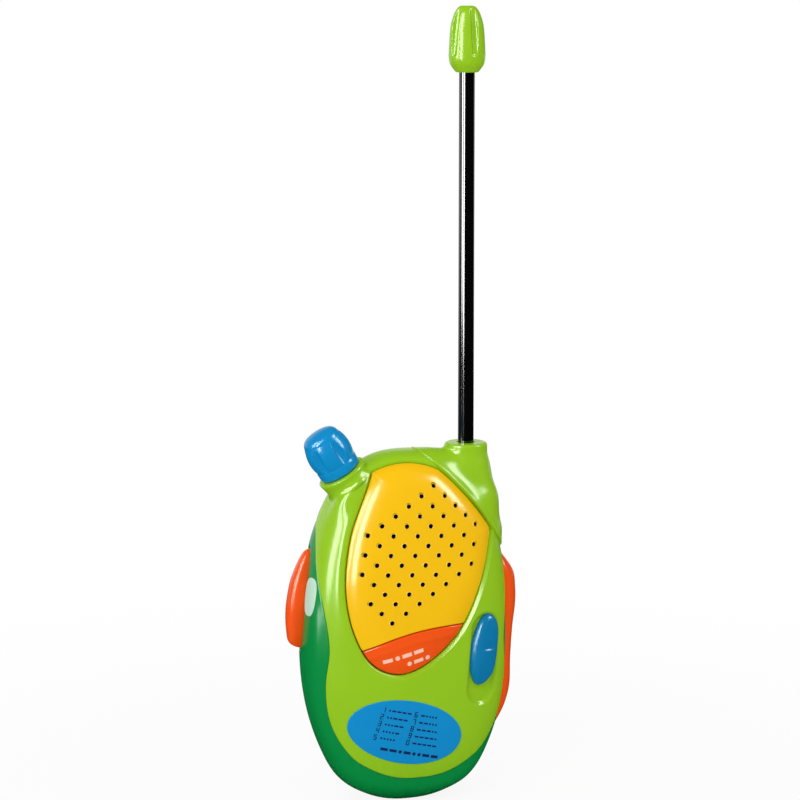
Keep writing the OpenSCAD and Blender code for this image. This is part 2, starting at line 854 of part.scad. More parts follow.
module talk_spring() {
    turns = 3;
    sides = 8;
    wire_r = 0.25;
    run = talk_switch_x - talk_pad_x - 2 * wire_r;
    color("#c0c0c0") translate([talk_pad_x + wire_r, talk_plunger_y, talk_plunger_z]) loft([
        for (k = [0 : 16 * turns])
            let (a = 360 * k / 16, along = run * k / 16 / turns)
            [for (i = [0 : sides - 1])
                let (b = 360 * i / sides, r = spring_r + wire_r * cos(b))
                [along + wire_r * sin(b), r * cos(a), r * sin(a)]]
    ]);
}

module talk_switch() {
    color("#303030") difference() {
        translate([talk_switch_x, main_board_y - 5.2, talk_plunger_z - 3]) cube([talk_switch_l, 5.2, 7]);
        bore_along_x(talk_plunger_y, talk_plunger_z, plunger_r + run_gap, talk_switch_x - 1,
            talk_switch_x + talk_switch_l - 1);
    }
}

module power_slider() {
    foot_y = channel_depth + rib + loose_gap;
    color("#0082c8") at_slider() difference() {
        union() {
            intersection() {
                from_face(-slider_proud - 1, channel_depth - loose_gap)
                    polygon(superellipse([slider_w, slider_l] / 2, 2.1, 48));
                translate([0, 8.5 - slider_proud, -far / 2]) cylinder(r = 8.5, h = far);
                translate([-far / 2, 42 - slider_proud, 0]) rotate([0, 90, 0]) cylinder(r = 42, h = far);
            }
            translate([-slider_stem_w / 2, 0, -slider_stem_l / 2])
                cube([slider_stem_w, foot_y + 0.5, slider_stem_l]);
            translate([-3.4, foot_y, -slider_stem_l / 2 - 1]) cube([6.8, slider_foot_t, slider_stem_l + 2]);
        }
        for (side = [-1, 1]) translate([-far / 2, -slider_proud - 8.2, side * 5.2])
            rotate([0, 90, 0]) cylinder(r = 9, h = far);
        translate([-1.2, foot_y - 1.4, -1.6]) cube([2.4, 4, 3.2]);
    }
}

module slide_lever() {
    color("#303030") translate([lever_pos.x - 0.7, lever_pos.y - 0.6, lever_pos.z - 1])
        cube([1.4, key_board_y - slide_switch_h + slot_depth - loose_gap - lever_pos.y + 0.6, 2]);
}

module slide_switch() {
    run = slider_travel + 2 + 2 * loose_gap;
    color("#c0c4c8") difference() {
        translate([lever_pos.x - 4.5, key_board_y - slide_switch_h, lever_pos.z - slider_travel / 2 - 8])
            cube([9, slide_switch_h, 16]);
        translate([lever_pos.x - 2, key_board_y - slide_switch_h - 1, lever_pos.z + 1 + loose_gap - run])
            cube([3.2, slot_depth + 1, run]);
    }
}

module key_board() {
    color("#b98a3c") difference() {
        translate([key_board_corner.x, key_board_y, key_board_corner.y])
            cube([key_board_w, board_t, key_board_h]);
        for (p = key_studs) bore_along_y(p, key_stud_r + run_gap, -far / 2, far / 2);
    }
}

module key_switch() {
    color("#303030") difference() {
        translate([key_mid.x - 3, key_board_y - 3.6, key_mid.y - 3]) cube([6, 3.6, 6]);
        bore_along_y(key_mid, plunger_r + run_gap, key_board_y - 5, key_board_y - 0.6);
    }
}

module key_plunger() {
    color("#f0f0f0") bore_along_y(key_mid, plunger_r, key_top_y, key_board_y - 0.8 - key_travel);
}

module at_speaker() {
    translate([speaker_mid.x, speaker_y, speaker_mid.y]) rotate([-90, 0, 0]) children();
}

module speaker_gasket() {
    r = speaker_d / 2;
    color("#404040") difference() {
        bore_along_y(speaker_mid, r, speaker_seat_y, speaker_y);
        bore_along_y(speaker_mid, r - speaker_rim_w, -far / 2, far / 2);
    }
}

module speaker_frame() {
    r = speaker_d / 2;
    plate_z = speaker_depth - magnet_t;
    hub = magnet_d / 2 + 0.5;
    color("#9aa0a6") at_speaker() difference() {
        rotate_extrude() polygon([
            [r, 0], [r, 1], [r - 1.6, 1], [hub, plate_z - 1], [hub, plate_z], [0, plate_z],
            [0, plate_z - 0.8], [hub - 0.9, plate_z - 0.8], [r - speaker_rim_w, 0.8], [r - speaker_rim_w, 0]
        ]);
        for (k = [0 : 3]) rotate(45 + 90 * k) translate([(r + hub) / 2 - 0.6, 0, 1.4])
            cylinder(r = 2.4, h = plate_z - 2.4);
    }
}

module speaker_cone() {
    edge = speaker_d / 2 - speaker_rim_w;
    color("#2a2a2a") at_speaker() rotate_extrude() polygon([
        [edge - 0.1, 0.2], [edge - 0.1, 0.7], [edge - 1.4, 1], [5, 5.8], [0, 5.8], [0, 3.6], [3, 4.2],
        [5, 5.2], [edge - 1.5, 0.5], [edge - 1, 0.2]
    ]);
}

module speaker_magnet() {
    color("#707478") at_speaker()
        translate([0, 0, speaker_depth - magnet_t]) cylinder(d = magnet_d, h = magnet_t);
}

module main_board() {
    w = main_board_half_w;
    tab = talk_switch_x;
    color("#3f7f4f") difference() {
        from_face(main_board_y, main_board_y + board_t) polygon([
            [tab, main_board_z], [w, main_board_z], [w, main_board_z + main_board_h],
            [-w, main_board_z + main_board_h], [-w, main_board_z + 15], [tab, main_board_z + 15]
        ]);
        for (p = board_posts) bore_along_y(p, board_screw_r + loose_gap, -far / 2, far / 2);
    }
}

module board_screws() {
    color("#c0c0c0") for (p = board_posts) union() {
        bore_along_y(p, board_screw_r + 1, main_board_y - 1.2, main_board_y);
        bore_along_y(p, board_screw_r, main_board_y - 0.5, main_board_y + board_t + 3);
    }
}

module tuning_coils() {
    color("#c8ccd0") for (x = [-coil_x, coil_x]) difference() {
        translate([x - coil_w / 2, main_board_y - coil_h, coil_z]) cube([coil_w, coil_h, coil_w]);
        bore_along_y([x, coil_z + coil_w / 2], coil_core_r,
            main_board_y - coil_h - 1, main_board_y - 0.4 * coil_h);
    }
}

module audio_chip() {
    color("#202020") union() {
        translate([-chip.x / 2, main_board_y - chip_lift - chip.y, chip_z]) cube(chip);
        for (k = [0 : chip_legs - 1])
            translate([(k - chip_legs / 2 + 0.5) * leg_pitch - leg_w / 2, main_board_y - 1.6, chip_z - 1])
                cube([leg_w, 1.6, chip.z + 2]);
    }
}

module capacitors() {
    places = [
        [-capacitor_x, capacitor_z], [capacitor_x, capacitor_z], [talk_switch_x + 11, main_board_z + 11]
    ];
    color("#3050a0") for (p = places) bore_along_y(p, capacitor_r, main_board_y - capacitor_h, main_board_y);
}

module battery() {
    corner = 2;
    color("#505860") union() {
        translate([0, battery_y, battery_z]) linear_extrude(battery_l) union() {
            square([battery_w, battery_t - 2 * corner], center = true);
            square([battery_w - 2 * corner, battery_t], center = true);
            for (x = [-1, 1]) for (y = [-1, 1])
                translate([x * (battery_w / 2 - corner), y * (battery_t / 2 - corner)]) circle(corner);
        }
        for (x = [-1, 1]) translate([x * terminal_x, battery_y, battery_z + battery_l - 1])
            cylinder(r = terminal_r, h = 3.6);
    }
}

module battery_snap() {
    color("#303030") translate([0, battery_y, battery_z + battery_l]) difference() {
        translate([-terminal_x - 5, -5.5, 0]) cube([2 * terminal_x + 10, 11, snap_h]);
        for (x = [-1, 1]) translate([x * terminal_x, 0, -1]) cylinder(r = terminal_r + loose_gap, h = 4.2);
    }
}

// Outline of the battery door up to its hinge line, as width and height
module door_outline(margin) {
    union() {
        translate([-door_half_w - margin, door_base - margin])
            square([2 * (door_half_w + margin), door_hinge.y - door_base + margin]);
        translate([-door_tail_r - margin, door_tail_z])
            square([2 * (door_tail_r + margin), door_base - door_tail_z]);
        translate([0, door_tail_z]) circle(door_tail_r + margin);
    }
}

module battery_door() {
    color("#009142") difference() {
        union() {
            from_face(bay_back, back_depth) door_outline(0);
            bore_along_x(door_hinge.x, door_hinge.y, door_t / 2, -door_half_w, door_half_w);
            bore_along_x(door_hinge.x, door_hinge.y, door_pin_r,
                -door_half_w - door_pin_l, door_half_w + door_pin_l);
        }
        bore_along_y([0, door_screw_z], screw_r + loose_gap, -far / 2, far / 2);
        bore_along_y([0, door_screw_z], screw_head_r + loose_gap, back_depth - 1.2, far / 2);
    }
}

module door_screw() {
    color("#c0c0c0") union() {
        bore_along_y([0, door_screw_z], screw_head_r, back_depth - 1.2, back_depth - 0.2);
        bore_along_y([0, door_screw_z], screw_r, bay_back - 3.5, back_depth - 1);
    }
}

module case_screws() {
    color("#c0c0c0") for (p = screw_posts) union() {
        bore_along_y(p, screw_head_r, screw_seat_y, screw_seat_y + screw_head_h);
        bore_along_y(p, screw_r, post_joint_y - 10, screw_seat_y + 0.5);
    }
}

module rear_shell() {
    color("#009142") difference() {
        union() {
            difference() {
                pebble(0);
                ahead_of_parting();
                pebble(wall);
            }
            intersection() {
                pebble(wall / 2);
                union() {
                    for (p = screw_posts) bore_along_y(p, screw_head_r + 1.7, post_joint_y, back_depth);
                    for (p = board_posts) bore_along_y(p, 2.6, main_board_y + board_t, back_depth);
                    bay_walls();
                }
            }
        }
        translate([-far / 2, -far / 2, -far]) cube([far, far, far]);
        bay_room();
        from_side(-far / 2, 0) talk_outline(seam_gap);
        for (z = grip_pegs) bore_along_x(grip_y, z, grip_peg_r + run_gap, 0.6 * half_w, far);
        for (p = screw_posts) {
            bore_along_y(p, screw_r + loose_gap, post_joint_y - 1, back_depth);
            bore_along_y(p, screw_head_r + loose_gap, screw_seat_y, far);
        }
        for (p = board_posts) bore_along_y(p, board_screw_r + run_gap, main_board_y, inner_back - 0.6);
    }
}

// Rings of a round wire along a smooth path whose end pieces are straight
function wire_rings(path, r, sides = 8) =
    let (p = through(path, 3), last = len(p) - 1, end = len(path) - 1)
    [for (k = [0 : last])
        let (
            run = k == 0 ? path[1] - path[0] : k == last ? path[end] - path[end - 1] : p[k + 1] - p[k - 1],
            t = run / norm(run),
            u = cross(t, [1, 0, 0]) / norm(cross(t, [1, 0, 0])),
            v = cross(t, u)
        )
        [for (i = [0 : sides - 1]) p[k] + r * (cos(360 * i / sides) * v + sin(360 * i / sides) * u)]];

module battery_leads() {
    color("#a02020") for (side = [-1, 1]) loft(wire_rings([
        [side * 2.5, battery_y, battery_z + battery_l + snap_h],
        [side * 2.5, battery_y, bay_top + rib],
        [side * 3, battery_y + 0.6, main_board_z + 2],
        [side * 4, main_board_y - 1.4, main_board_z + 4],
        [side * 4, main_board_y, main_board_z + 4]
    ], lead_r));
}

module speaker_leads() {
    rim_back = speaker_y + 1;
    color("#303030") for (k = [0, 1])
        let (
            turn = -38 - 10 * k,
            rim = speaker_mid + (speaker_d / 2 - 0.84) * [cos(turn), sin(turn)],
            end_z = main_board_z + 3
        )
        loft(wire_rings([
            [rim.x, rim_back, rim.y],
            [rim.x, rim_back + lead_straight, rim.y],
            [rim.x + 1.5 + 1.2 * k, main_board_y - 11, rim.y + 2.4 + k],
            [rim.x - 1.5 - 1.5 * k, main_board_y - 3.4, end_z + 0.6 - 1.8 * k],
            [lead_ends[k], main_board_y - 1.6, end_z],
            [lead_ends[k], main_board_y, end_z]
        ], lead_r));
}

// Walls of the battery bay, the ledge round its door, the door screw's boss and the key board's studs
module bay_walls() {
    ledge = 2.4;
    union() {
        translate([-bay_half_w - rib, bay_floor - rib, bay_base - rib])
            cube([2 * (bay_half_w + rib), back_depth - bay_floor + rib, bay_top - bay_base + 2 * rib]);
        translate([-door_half_w - ledge, bay_back - 1.8, door_base - ledge])
            cube([2 * (door_half_w + ledge), 4, door_top - door_base + 2 * ledge]);
        bore_along_y([0, door_screw_z], screw_r + 1.9, bay_back - 9, bay_back);
        for (p = key_studs) bore_along_y(p, key_stud_r, key_board_y - 1, bay_floor);
    }
}

// Room inside the bay, the door's opening and the holes of its hinge pins and screw
module bay_room() {
    union() {
        translate([-bay_half_w, bay_floor, bay_base])
            cube([2 * bay_half_w, bay_back - bay_floor + 0.01, bay_top - bay_base]);
        from_face(bay_back, far) union() {
            door_outline(seam_gap);
            translate([-door_half_w - seam_gap, door_hinge.y - 1])
                square([2 * (door_half_w + seam_gap), door_t / 2 + seam_gap + 1]);
        }
        bore_along_x(door_hinge.x, door_hinge.y, door_pin_r + run_gap, -door_half_w - door_pin_l - loose_gap,
            door_half_w + door_pin_l + loose_gap);
        bore_along_y([0, door_screw_z], screw_r + 2 * loose_gap, bay_back - 7, far);
        translate([-4.5, battery_y - 1.5, bay_top - 1]) cube([9, 3, rib + 2]);
    }
}

front_shell();
rear_shell();
antenna_shoulder();
speaker_grille();
code_key();
code_label();
talk_label();
finger_grip();
antenna_rod();
antenna_tip();
antenna_screw();
volume_knob();
volume_shaft();
volume_control();
volume_nut();
talk_button();
talk_plunger();
talk_spring();
talk_switch();
power_slider();
slide_lever();
slide_switch();
key_plunger();
key_switch();
key_board();
speaker_gasket();
speaker_frame();
speaker_cone();
speaker_magnet();
main_board();
board_screws();
tuning_coils();
audio_chip();
capacitors();
battery();
battery_snap();
battery_door();
door_screw();
case_screws();
battery_leads();
speaker_leads();
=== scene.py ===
import json
import math

import bpy
import numpy as np
from mathutils import Matrix, Vector


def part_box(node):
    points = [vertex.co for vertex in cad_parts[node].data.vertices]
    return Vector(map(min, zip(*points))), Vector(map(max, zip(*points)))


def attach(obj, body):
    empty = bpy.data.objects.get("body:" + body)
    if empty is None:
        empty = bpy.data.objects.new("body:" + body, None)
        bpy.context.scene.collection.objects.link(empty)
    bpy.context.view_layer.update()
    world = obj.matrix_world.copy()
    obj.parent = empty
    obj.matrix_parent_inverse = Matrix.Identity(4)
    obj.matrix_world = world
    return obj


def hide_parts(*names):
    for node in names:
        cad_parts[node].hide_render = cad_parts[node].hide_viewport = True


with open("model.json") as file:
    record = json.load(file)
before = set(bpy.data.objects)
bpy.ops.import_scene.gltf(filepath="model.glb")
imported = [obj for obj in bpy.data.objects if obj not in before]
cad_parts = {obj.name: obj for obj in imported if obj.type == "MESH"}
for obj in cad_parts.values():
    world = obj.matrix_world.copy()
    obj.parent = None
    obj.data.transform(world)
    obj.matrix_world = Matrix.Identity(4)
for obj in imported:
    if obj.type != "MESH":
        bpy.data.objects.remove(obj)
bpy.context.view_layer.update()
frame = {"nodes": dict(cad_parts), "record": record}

# Pieces are drawn in millimetres and made in metres
MM = 0.001


def node_box(node):
    low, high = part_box(node)
    return np.array(low) / MM, np.array(high) / MM


# Case: sizes that the solids show, and the rules of their curves
front_box = node_box("front_shell")
rear_box = node_box("rear_shell")
PROUD = 0.5
HALF_W = rear_box[1][0]
BODY_H = front_box[1][2]
BACK_DEPTH = rear_box[1][1]
FRONT_DEPTH = -node_box("code_key")[0][1] - PROUD
WAIST = 61.5
TOP_HALF = BODY_H - WAIST
BASE_HALF = WAIST + 0.8
OUTLINE_POWER = 2.42
CROWN_POWER = 3.0
BACK_EDGE = 8.0
WALL = 2.2
GAP = 0.35
FAR = 300.0

PARTING = [
    (-21, -20.7), (-18.8, 10.2), (-16.4, 20), (-14, 33.5), (-14.5, 46.5), (-16.4, 62), (-12.8, 79),
    (-3.5, 97), (5, 107), (6.5, 118), (6.5, 150.5)
]
SEAM = [(2, 132), (20, 114.4), (36.5, 92)]
GRILLE_SIDE = [
    (23.3, 82.2), (14.4, 65.8), (2.5, 55), (-9, 51), (-20, 55.5), (-26.9, 68), (-29.3, 84), (-27.3, 100),
    (-23.2, 111.5), (-16.2, 125.0)
]
GRILLE_CROWN = (-3.5, 128.1)
KEY_SEAM = [(-30, 57.2), (-5, 66.6), (20, 68)]


def reach(p, q):
    half = np.where(q > 0, TOP_HALF, BASE_HALF)
    return (np.abs(p / HALF_W) ** OUTLINE_POWER + np.abs(q / half) ** OUTLINE_POWER) ** (1 / OUTLINE_POWER)


def crown_y(x, z):
    share = np.minimum(reach(x, z - WAIST), 1)
    return -FRONT_DEPTH * (1 - share ** CROWN_POWER) ** (1 / CROWN_POWER)


def section_at(y):
    """Scale of the case's outline at a depth."""
    front = (1 - np.clip(-y / FRONT_DEPTH, 0, 1) ** CROWN_POWER) ** (1 / CROWN_POWER)
    back = 1 - BACK_EDGE / HALF_W * (1 - np.sqrt(1 - np.clip(y / BACK_DEPTH, 0, 1) ** 2))
    return np.where(y < 0, front, back)


def side_x(y, z):
    """Half width of the case at a depth and a height."""
    s = section_at(y)
    half = np.where(z > WAIST, TOP_HALF, BASE_HALF)
    rise = np.abs(z - WAIST) / (s * half)
    return s * HALF_W * np.maximum(0, 1 - rise ** OUTLINE_POWER) ** (1 / OUTLINE_POWER)


# Steps of the table: round a quarter of a section, and over the flat back
QUARTER, FLAT = 900, 60
CURVED = 2 * QUARTER - 1
MEAN_HALF = 45.0
TINY = 1e-9


def case_table():
    """Section scale and depth from the front pole round to the back pole, by distance along the skin."""
    a = np.linspace(0, math.pi / 2, QUARTER)
    scale = np.concatenate([
        np.sin(a) ** (2 / CROWN_POWER), 1 - BACK_EDGE / HALF_W * (1 - np.cos(a[1:])),
        np.linspace(1 - BACK_EDGE / HALF_W, 0, FLAT)[1:]])
    depth = np.concatenate([
        -FRONT_DEPTH * np.cos(a) ** (2 / CROWN_POWER), BACK_DEPTH * np.sin(a[1:]),
        np.full(FLAT - 1, BACK_DEPTH)])
    steps = np.hypot(np.diff(scale * MEAN_HALF), np.diff(depth))
    return np.concatenate([[0], np.cumsum(steps)]) / MEAN_HALF, scale, depth


RUN, SCALE, DEPTH = case_table()


def skin_run(y):
    """Distance along the skin from the front pole to a depth."""
    return np.interp(y, DEPTH[:CURVED], RUN[:CURVED])


def case_skin(run, scale, depth):
    """Places on the case of points of a plan, by their distance along the skin from one pole."""
    def place(plan):
        p, q = plan.T
        far = np.maximum(reach(p, q), TINY)
        k = np.interp(far, run, scale) / far
        return np.column_stack([p * k, np.interp(far, run, depth), WAIST + q * k])

    return place


def lean_matrix(angle):
    """A turn about Y."""
    c, s = math.cos(angle), math.sin(angle)
    return np.array([[c, 0, s], [0, 1, 0], [-s, 0, c]])


def unit(v):
    return v / np.maximum(np.linalg.norm(v, axis=-1, keepdims=True), 1e-12)


# Lines on the case
def through(points, steps):
    """Smooth curve through points."""
    p = np.array(points, float)
    made = []
    for i in range(len(p) - 1):
        a, b, c, d = p[max(i - 1, 0)], p[i], p[i + 1], p[min(i + 2, len(p) - 1)]
        for t in np.arange(steps) / steps:
            made.append(b + t / 2 * (c - a + t * (2 * a - 5 * b + 4 * c - d + t * (3 * b - a - 3 * c + d))))
    return np.array(made + [p[-1]])


def arc_through(a, b, c, steps):
    a, b, c = np.array(a, float), np.array(b, float), np.array(c, float)
    d = 2 * (a[0] * (b[1] - c[1]) + b[0] * (c[1] - a[1]) + c[0] * (a[1] - b[1]))
    mid = np.array([
        a @ a * (b[1] - c[1]) + b @ b * (c[1] - a[1]) + c @ c * (a[1] - b[1]),
        a @ a * (c[0] - b[0]) + b @ b * (a[0] - c[0]) + c @ c * (b[0] - a[0])
    ]) / d
    start = math.atan2(*(a - mid)[::-1])
    turn = (math.atan2(*(c - mid)[::-1]) - start + math.pi) % (2 * math.pi) - math.pi
    angle = start + turn * np.linspace(0, 1, steps + 1)
    return mid + np.linalg.norm(a - mid) * np.column_stack([np.cos(angle), np.sin(angle)])


def superellipse(mid, half, power, tilt=0.0, steps=96):
    a = np.linspace(0, 2 * math.pi, steps, endpoint=False)
    x = half[0] * np.sign(np.cos(a)) * np.abs(np.cos(a)) ** (2 / power)
    z = half[1] * np.sign(np.sin(a)) * np.abs(np.sin(a)) ** (2 / power)
    c, s = math.cos(tilt), math.sin(tilt)
    return np.array(mid) + np.column_stack([x * c - z * s, x * s + z * c])


def grille_outline():
    """The panel's side and crown, and the steps of the shoulder's seam that it follows."""
    seam = arc_through(*SEAM, 80)
    first, last = 16, 62
    side = through([seam[last]] + GRILLE_SIDE, 12)
    crown = arc_through(side[-1], GRILLE_CROWN, seam[first], 24)
    return np.concatenate([side, crown[1:-1], seam[first:last]])


class Outline:
    """A closed line drawn on two of the axes. A call gives distances along the skin, negative inside it."""

    def __init__(self, corners, axes, only=None):
        self.corners = np.array(corners, float)
        self.axes = axes
        self.only = only

    def flat(self, points):
        """Signed distance in the plane of the line, and the direction it grows in."""
        a = self.corners
        run = np.roll(a, -1, 0) - a
        size = np.maximum((run ** 2).sum(1), 1e-12)
        rise = np.where(np.abs(run[:, 1]) < 1e-12, 1e-12, run[:, 1])
        spot = points[:, self.axes]
        away = np.empty(len(spot))
        grow = np.empty((len(spot), 2))
        chunk = 4000
        for k in range(0, len(spot), chunk):
            part = slice(k, k + chunk)
            q = spot[part, None, :] - a[None]
            t = np.clip((q * run).sum(2) / size, 0, 1)
            r = q - t[..., None] * run
            near = np.argmin((r ** 2).sum(2), 1)
            rows = np.arange(len(q))
            r = r[rows, near]
            straddles = (q[..., 1] < 0) != (q[..., 1] < run[:, 1])
            crossed = straddles & (q[..., 0] < run[:, 0] * q[..., 1] / rise)
            sign = np.where(crossed.sum(1) % 2 == 1, -1.0, 1.0)
            length = np.linalg.norm(r, axis=1)
            along = run[near] / np.sqrt(size[near])[:, None]
            square = np.column_stack([along[:, 1], -along[:, 0]])
            away[part] = sign * length
            grow[part] = np.where(length[:, None] > 1e-6, sign[:, None] * unit(r), square)
        return away, grow

    def __call__(self, points, normals):
        away, grow = self.flat(points)
        slope = np.zeros_like(points)
        slope[:, self.axes] = grow
        slope -= normals * (slope * normals).sum(1, keepdims=True)
        steepest = 0.3
        away = away / np.maximum(np.linalg.norm(slope, axis=1), steepest)
        return away if self.only is None else np.where(self.only(points), away, FAR)


FACE = [0, 2]
SIDE = [1, 2]
grille_line = Outline(grille_outline(), FACE, lambda p: p[:, 1] < 2)
seam_line = Outline(
    np.concatenate([arc_through(*SEAM, 60), [(FAR, SEAM[2][1]), (FAR, FAR), (SEAM[0][0], FAR)]]), FACE)
parting_curve = through(PARTING, 12)
parting_line = Outline(np.concatenate([
    [(-FAR, -FAR), (PARTING[0][0], -FAR)], parting_curve, [(PARTING[-1][0], FAR), (-FAR, FAR)]]), SIDE)
key_arc = arc_through(*KEY_SEAM, 40)
key_line = Outline(np.concatenate([[(-60, 40), (-60, 46)], key_arc, [(60, 68), (60, 0), (-60, 0)]]), FACE)


class Skin:
    """A curved surface over a flat plan, with the way its faces turn."""

    def __init__(self, place, step=0.3, turn=1):
        self.place = place
        self.step = step
        self.turn = turn

    def at(self, plan):
        u, v = np.array([self.step, 0]), np.array([0, self.step])
        du = self.place(plan + u) - self.place(plan - u)
        dv = self.place(plan + v) - self.place(plan - v)
        return self.place(plan), unit(self.turn * np.cross(du, dv))


FRONT = Skin(case_skin(RUN, SCALE, DEPTH))
REAR = Skin(case_skin(RUN[-1] - RUN[::-1], SCALE[::-1], DEPTH[::-1]), turn=-1)


# Height of a row of even triangles, in steps
ROW = 0.866


def even_plan(low, high, step):
    """Points of a triangular net over a rectangle, and its triangles."""
    columns = int(math.ceil((high[0] - low[0]) / step)) + 1
    rows = int(math.ceil((high[1] - low[1]) / (step * ROW))) + 1
    i, j = np.meshgrid(np.arange(columns), np.arange(rows))
    x, y = low[0] + (i + 0.5 * (j % 2)) * step, low[1] + j * step * ROW
    plan = np.column_stack([x.ravel(), y.ravel()])
    a = (i + j * columns)[:-1, :-1].ravel()
    even = (j[:-1, :-1] % 2 == 0).ravel()
    right, up, across = a + 1, a + columns, a + columns + 1
    first = np.where(even[:, None], np.column_stack([a, right, up]), np.column_stack([a, right, across]))
    second = np.where(even[:, None], np.column_stack([right, across, up]), np.column_stack([a, across, up]))
    return plan, np.concatenate([first, second])


def case_net(share, step):
    """An even net over a share of the case's plan."""
    return even_plan((-HALF_W * share, -BASE_HALF * share), (HALF_W * share, TOP_HALF * share), step)


def ring_plan(radii, around):
    """Points on rings round a middle point, and their triangles."""
    angle = 2 * math.pi * np.arange(around) / around
    plan = np.concatenate([[[0, 0]]] + [r * np.column_stack([np.cos(angle), np.sin(angle)]) for r in radii])
    k = np.arange(around)
    n = (k + 1) % around
    tris = [np.column_stack([np.zeros(around, int), 1 + k, 1 + n])]
    for ring in range(len(radii) - 1):
        a, b = 1 + ring * around, 1 + (ring + 1) * around
        tris += [np.column_stack([a + k, b + k, b + n]), np.column_stack([a + k, b + n, a + n])]
    return plan, np.concatenate(tris)


# Shares of a short rim where its edges lie
SHORT_RIM = (0.1, 0.3, 0.6, 1.0)


class Sheet:
    """Triangles on a plan that are cut along lines and lifted onto a skin."""
    # Shares of the step: points pulled to a cut, the probe of its slope, the longest pull
    NEAR, PROBE, PULL = 0.25, 0.05, 0.4

    def __init__(self, net, skin, step):
        self.plan, self.tris = net
        self.skin = skin
        self.step = step
        self.fixed = np.zeros(len(self.plan), bool)
        self.rims = []

    def measure(self, line, plan=None):
        return line(*self.skin.at(self.plan if plan is None else plan))

    def cut(self, line, level=0.0, keep=0):
        """Puts an edge where the line's distance is level, and keeps one side of it (-1 or 1) or both (0)."""
        value = self.measure(line) - level
        near = (np.abs(value) < self.NEAR * self.step) & ~self.fixed
        spot = self.plan[near]
        e = self.step * self.PROBE
        slope = np.column_stack([
            (self.measure(line, spot + way) - self.measure(line, spot - way)) / (2 * e)
            for way in np.eye(2) * e])
        shift = -value[near, None] * slope / np.maximum((slope ** 2).sum(1, keepdims=True), 0.05)
        length = np.maximum(np.linalg.norm(shift, axis=1, keepdims=True), TINY)
        self.plan[near] = spot + shift * np.minimum(1, self.PULL * self.step / length)
        value[near] = 0
        self.fixed |= near
        value[np.abs(value) < 1e-4] = 0
        sign = np.sign(value)
        pairs = np.sort(np.stack([self.tris, np.roll(self.tris, -1, 1)], 2).reshape(-1, 2), 1)
        edges, which = np.unique(pairs, axis=0, return_inverse=True)
        split = sign[edges[:, 0]] * sign[edges[:, 1]] < 0
        a, b = edges[split].T
        t = (value[a] / (value[a] - value[b]))[:, None]
        fresh = np.full(len(edges), -1)
        fresh[split] = len(self.plan) + np.arange(split.sum())
        self.plan = np.concatenate([self.plan, self.plan[a] * (1 - t) + self.plan[b] * t])
        self.fixed = np.concatenate([self.fixed, np.ones(len(a), bool)])
        sign = np.concatenate([sign, np.zeros(len(a))])
        cuts = fresh[which.reshape(-1)].reshape(-1, 3)
        count = (cuts >= 0).sum(1)
        made = [self.tris[count == 0]]
        for turn in range(3):
            v = np.roll(self.tris, -turn, 1)
            c = np.roll(cuts, -turn, 1)
            one = (count == 1) & (c[:, 0] >= 0)
            made += [np.column_stack([v[one, 0], c[one, 0], v[one, 2]]),
                     np.column_stack([c[one, 0], v[one, 1], v[one, 2]])]
            two = (count == 2) & (c[:, 0] < 0)
            made += [np.column_stack([v[two, 0], v[two, 1], c[two, 1]]),
                     np.column_stack([v[two, 0], c[two, 1], c[two, 2]]),
                     np.column_stack([c[two, 2], c[two, 1], v[two, 2]])]
        self.tris = np.concatenate(made)
        if keep:
            self.tris = self.tris[sign[self.tris].sum(1) * keep > 0]
            used, tris = np.unique(self.tris, return_inverse=True)
            self.tris = tris.reshape(-1, 3)
            self.plan, self.fixed = self.plan[used], self.fixed[used]

    def trim(self, line, radius, keep=-1, shares=(0.08, 0.25, 0.45, 0.7, 1.0)):
        """Cuts a piece off along a line and puts edges where its rounded rim bends."""
        self.rims.append((line, radius, keep))
        self.cut(line, 0.0, keep)
        for share in shares:
            self.cut(line, keep * share * radius)

    def lift(self):
        """Points on the skin, their normals and the fall of each trimmed rim."""
        points, normals = self.skin.at(self.plan)
        return points, normals, [roll(-keep * line(points, normals), r) for line, r, keep in self.rims]


def roll(distance, radius):
    """Fall of a rounded rim: distance is 0 at the rim and negative inside it."""
    t = np.clip(distance + radius, 0, radius)
    return radius - np.sqrt(radius ** 2 - t ** 2)


def smooth(t):
    t = np.clip(t, 0, 1)
    return t * t * (3 - 2 * t)


def walled(tris, outer, inner):
    """A closed wall between an outer sheet and its inner copy."""
    n = len(outer)
    edges = np.stack([tris, np.roll(tris, -1, 1)], 2).reshape(-1, 2)
    key = edges[:, 0].astype(np.int64) * n + edges[:, 1]
    back = edges[:, 1].astype(np.int64) * n + edges[:, 0]
    rim = edges[~np.isin(key, back)]
    a, b = rim.T
    faces = [tris, tris[:, ::-1] + n, np.column_stack([b, a, a + n]), np.column_stack([b, a + n, b + n])]
    return np.concatenate([outer, inner]), np.concatenate(faces)


# Nodes of materials and of geometry
class Socket:
    """A node's output in an expression: operators on values add Math nodes."""

    def __init__(self, graph, out):
        self.graph = graph
        self.out = out

    def __add__(self, other):
        return self.graph.math("ADD", self, other)

    def __sub__(self, other):
        return self.graph.math("SUBTRACT", self, other)

    def __rsub__(self, other):
        return self.graph.math("SUBTRACT", other, self)

    def __mul__(self, other):
        return self.graph.math("MULTIPLY", self, other)

    def __truediv__(self, other):
        return self.graph.math("DIVIDE", self, other)

    def __rtruediv__(self, other):
        return self.graph.math("DIVIDE", other, self)

    def __lt__(self, other):
        return self.graph.math("LESS_THAN", self, other)

    def __gt__(self, other):
        return self.graph.math("GREATER_THAN", self, other)

    __radd__ = __add__
    __rmul__ = __mul__


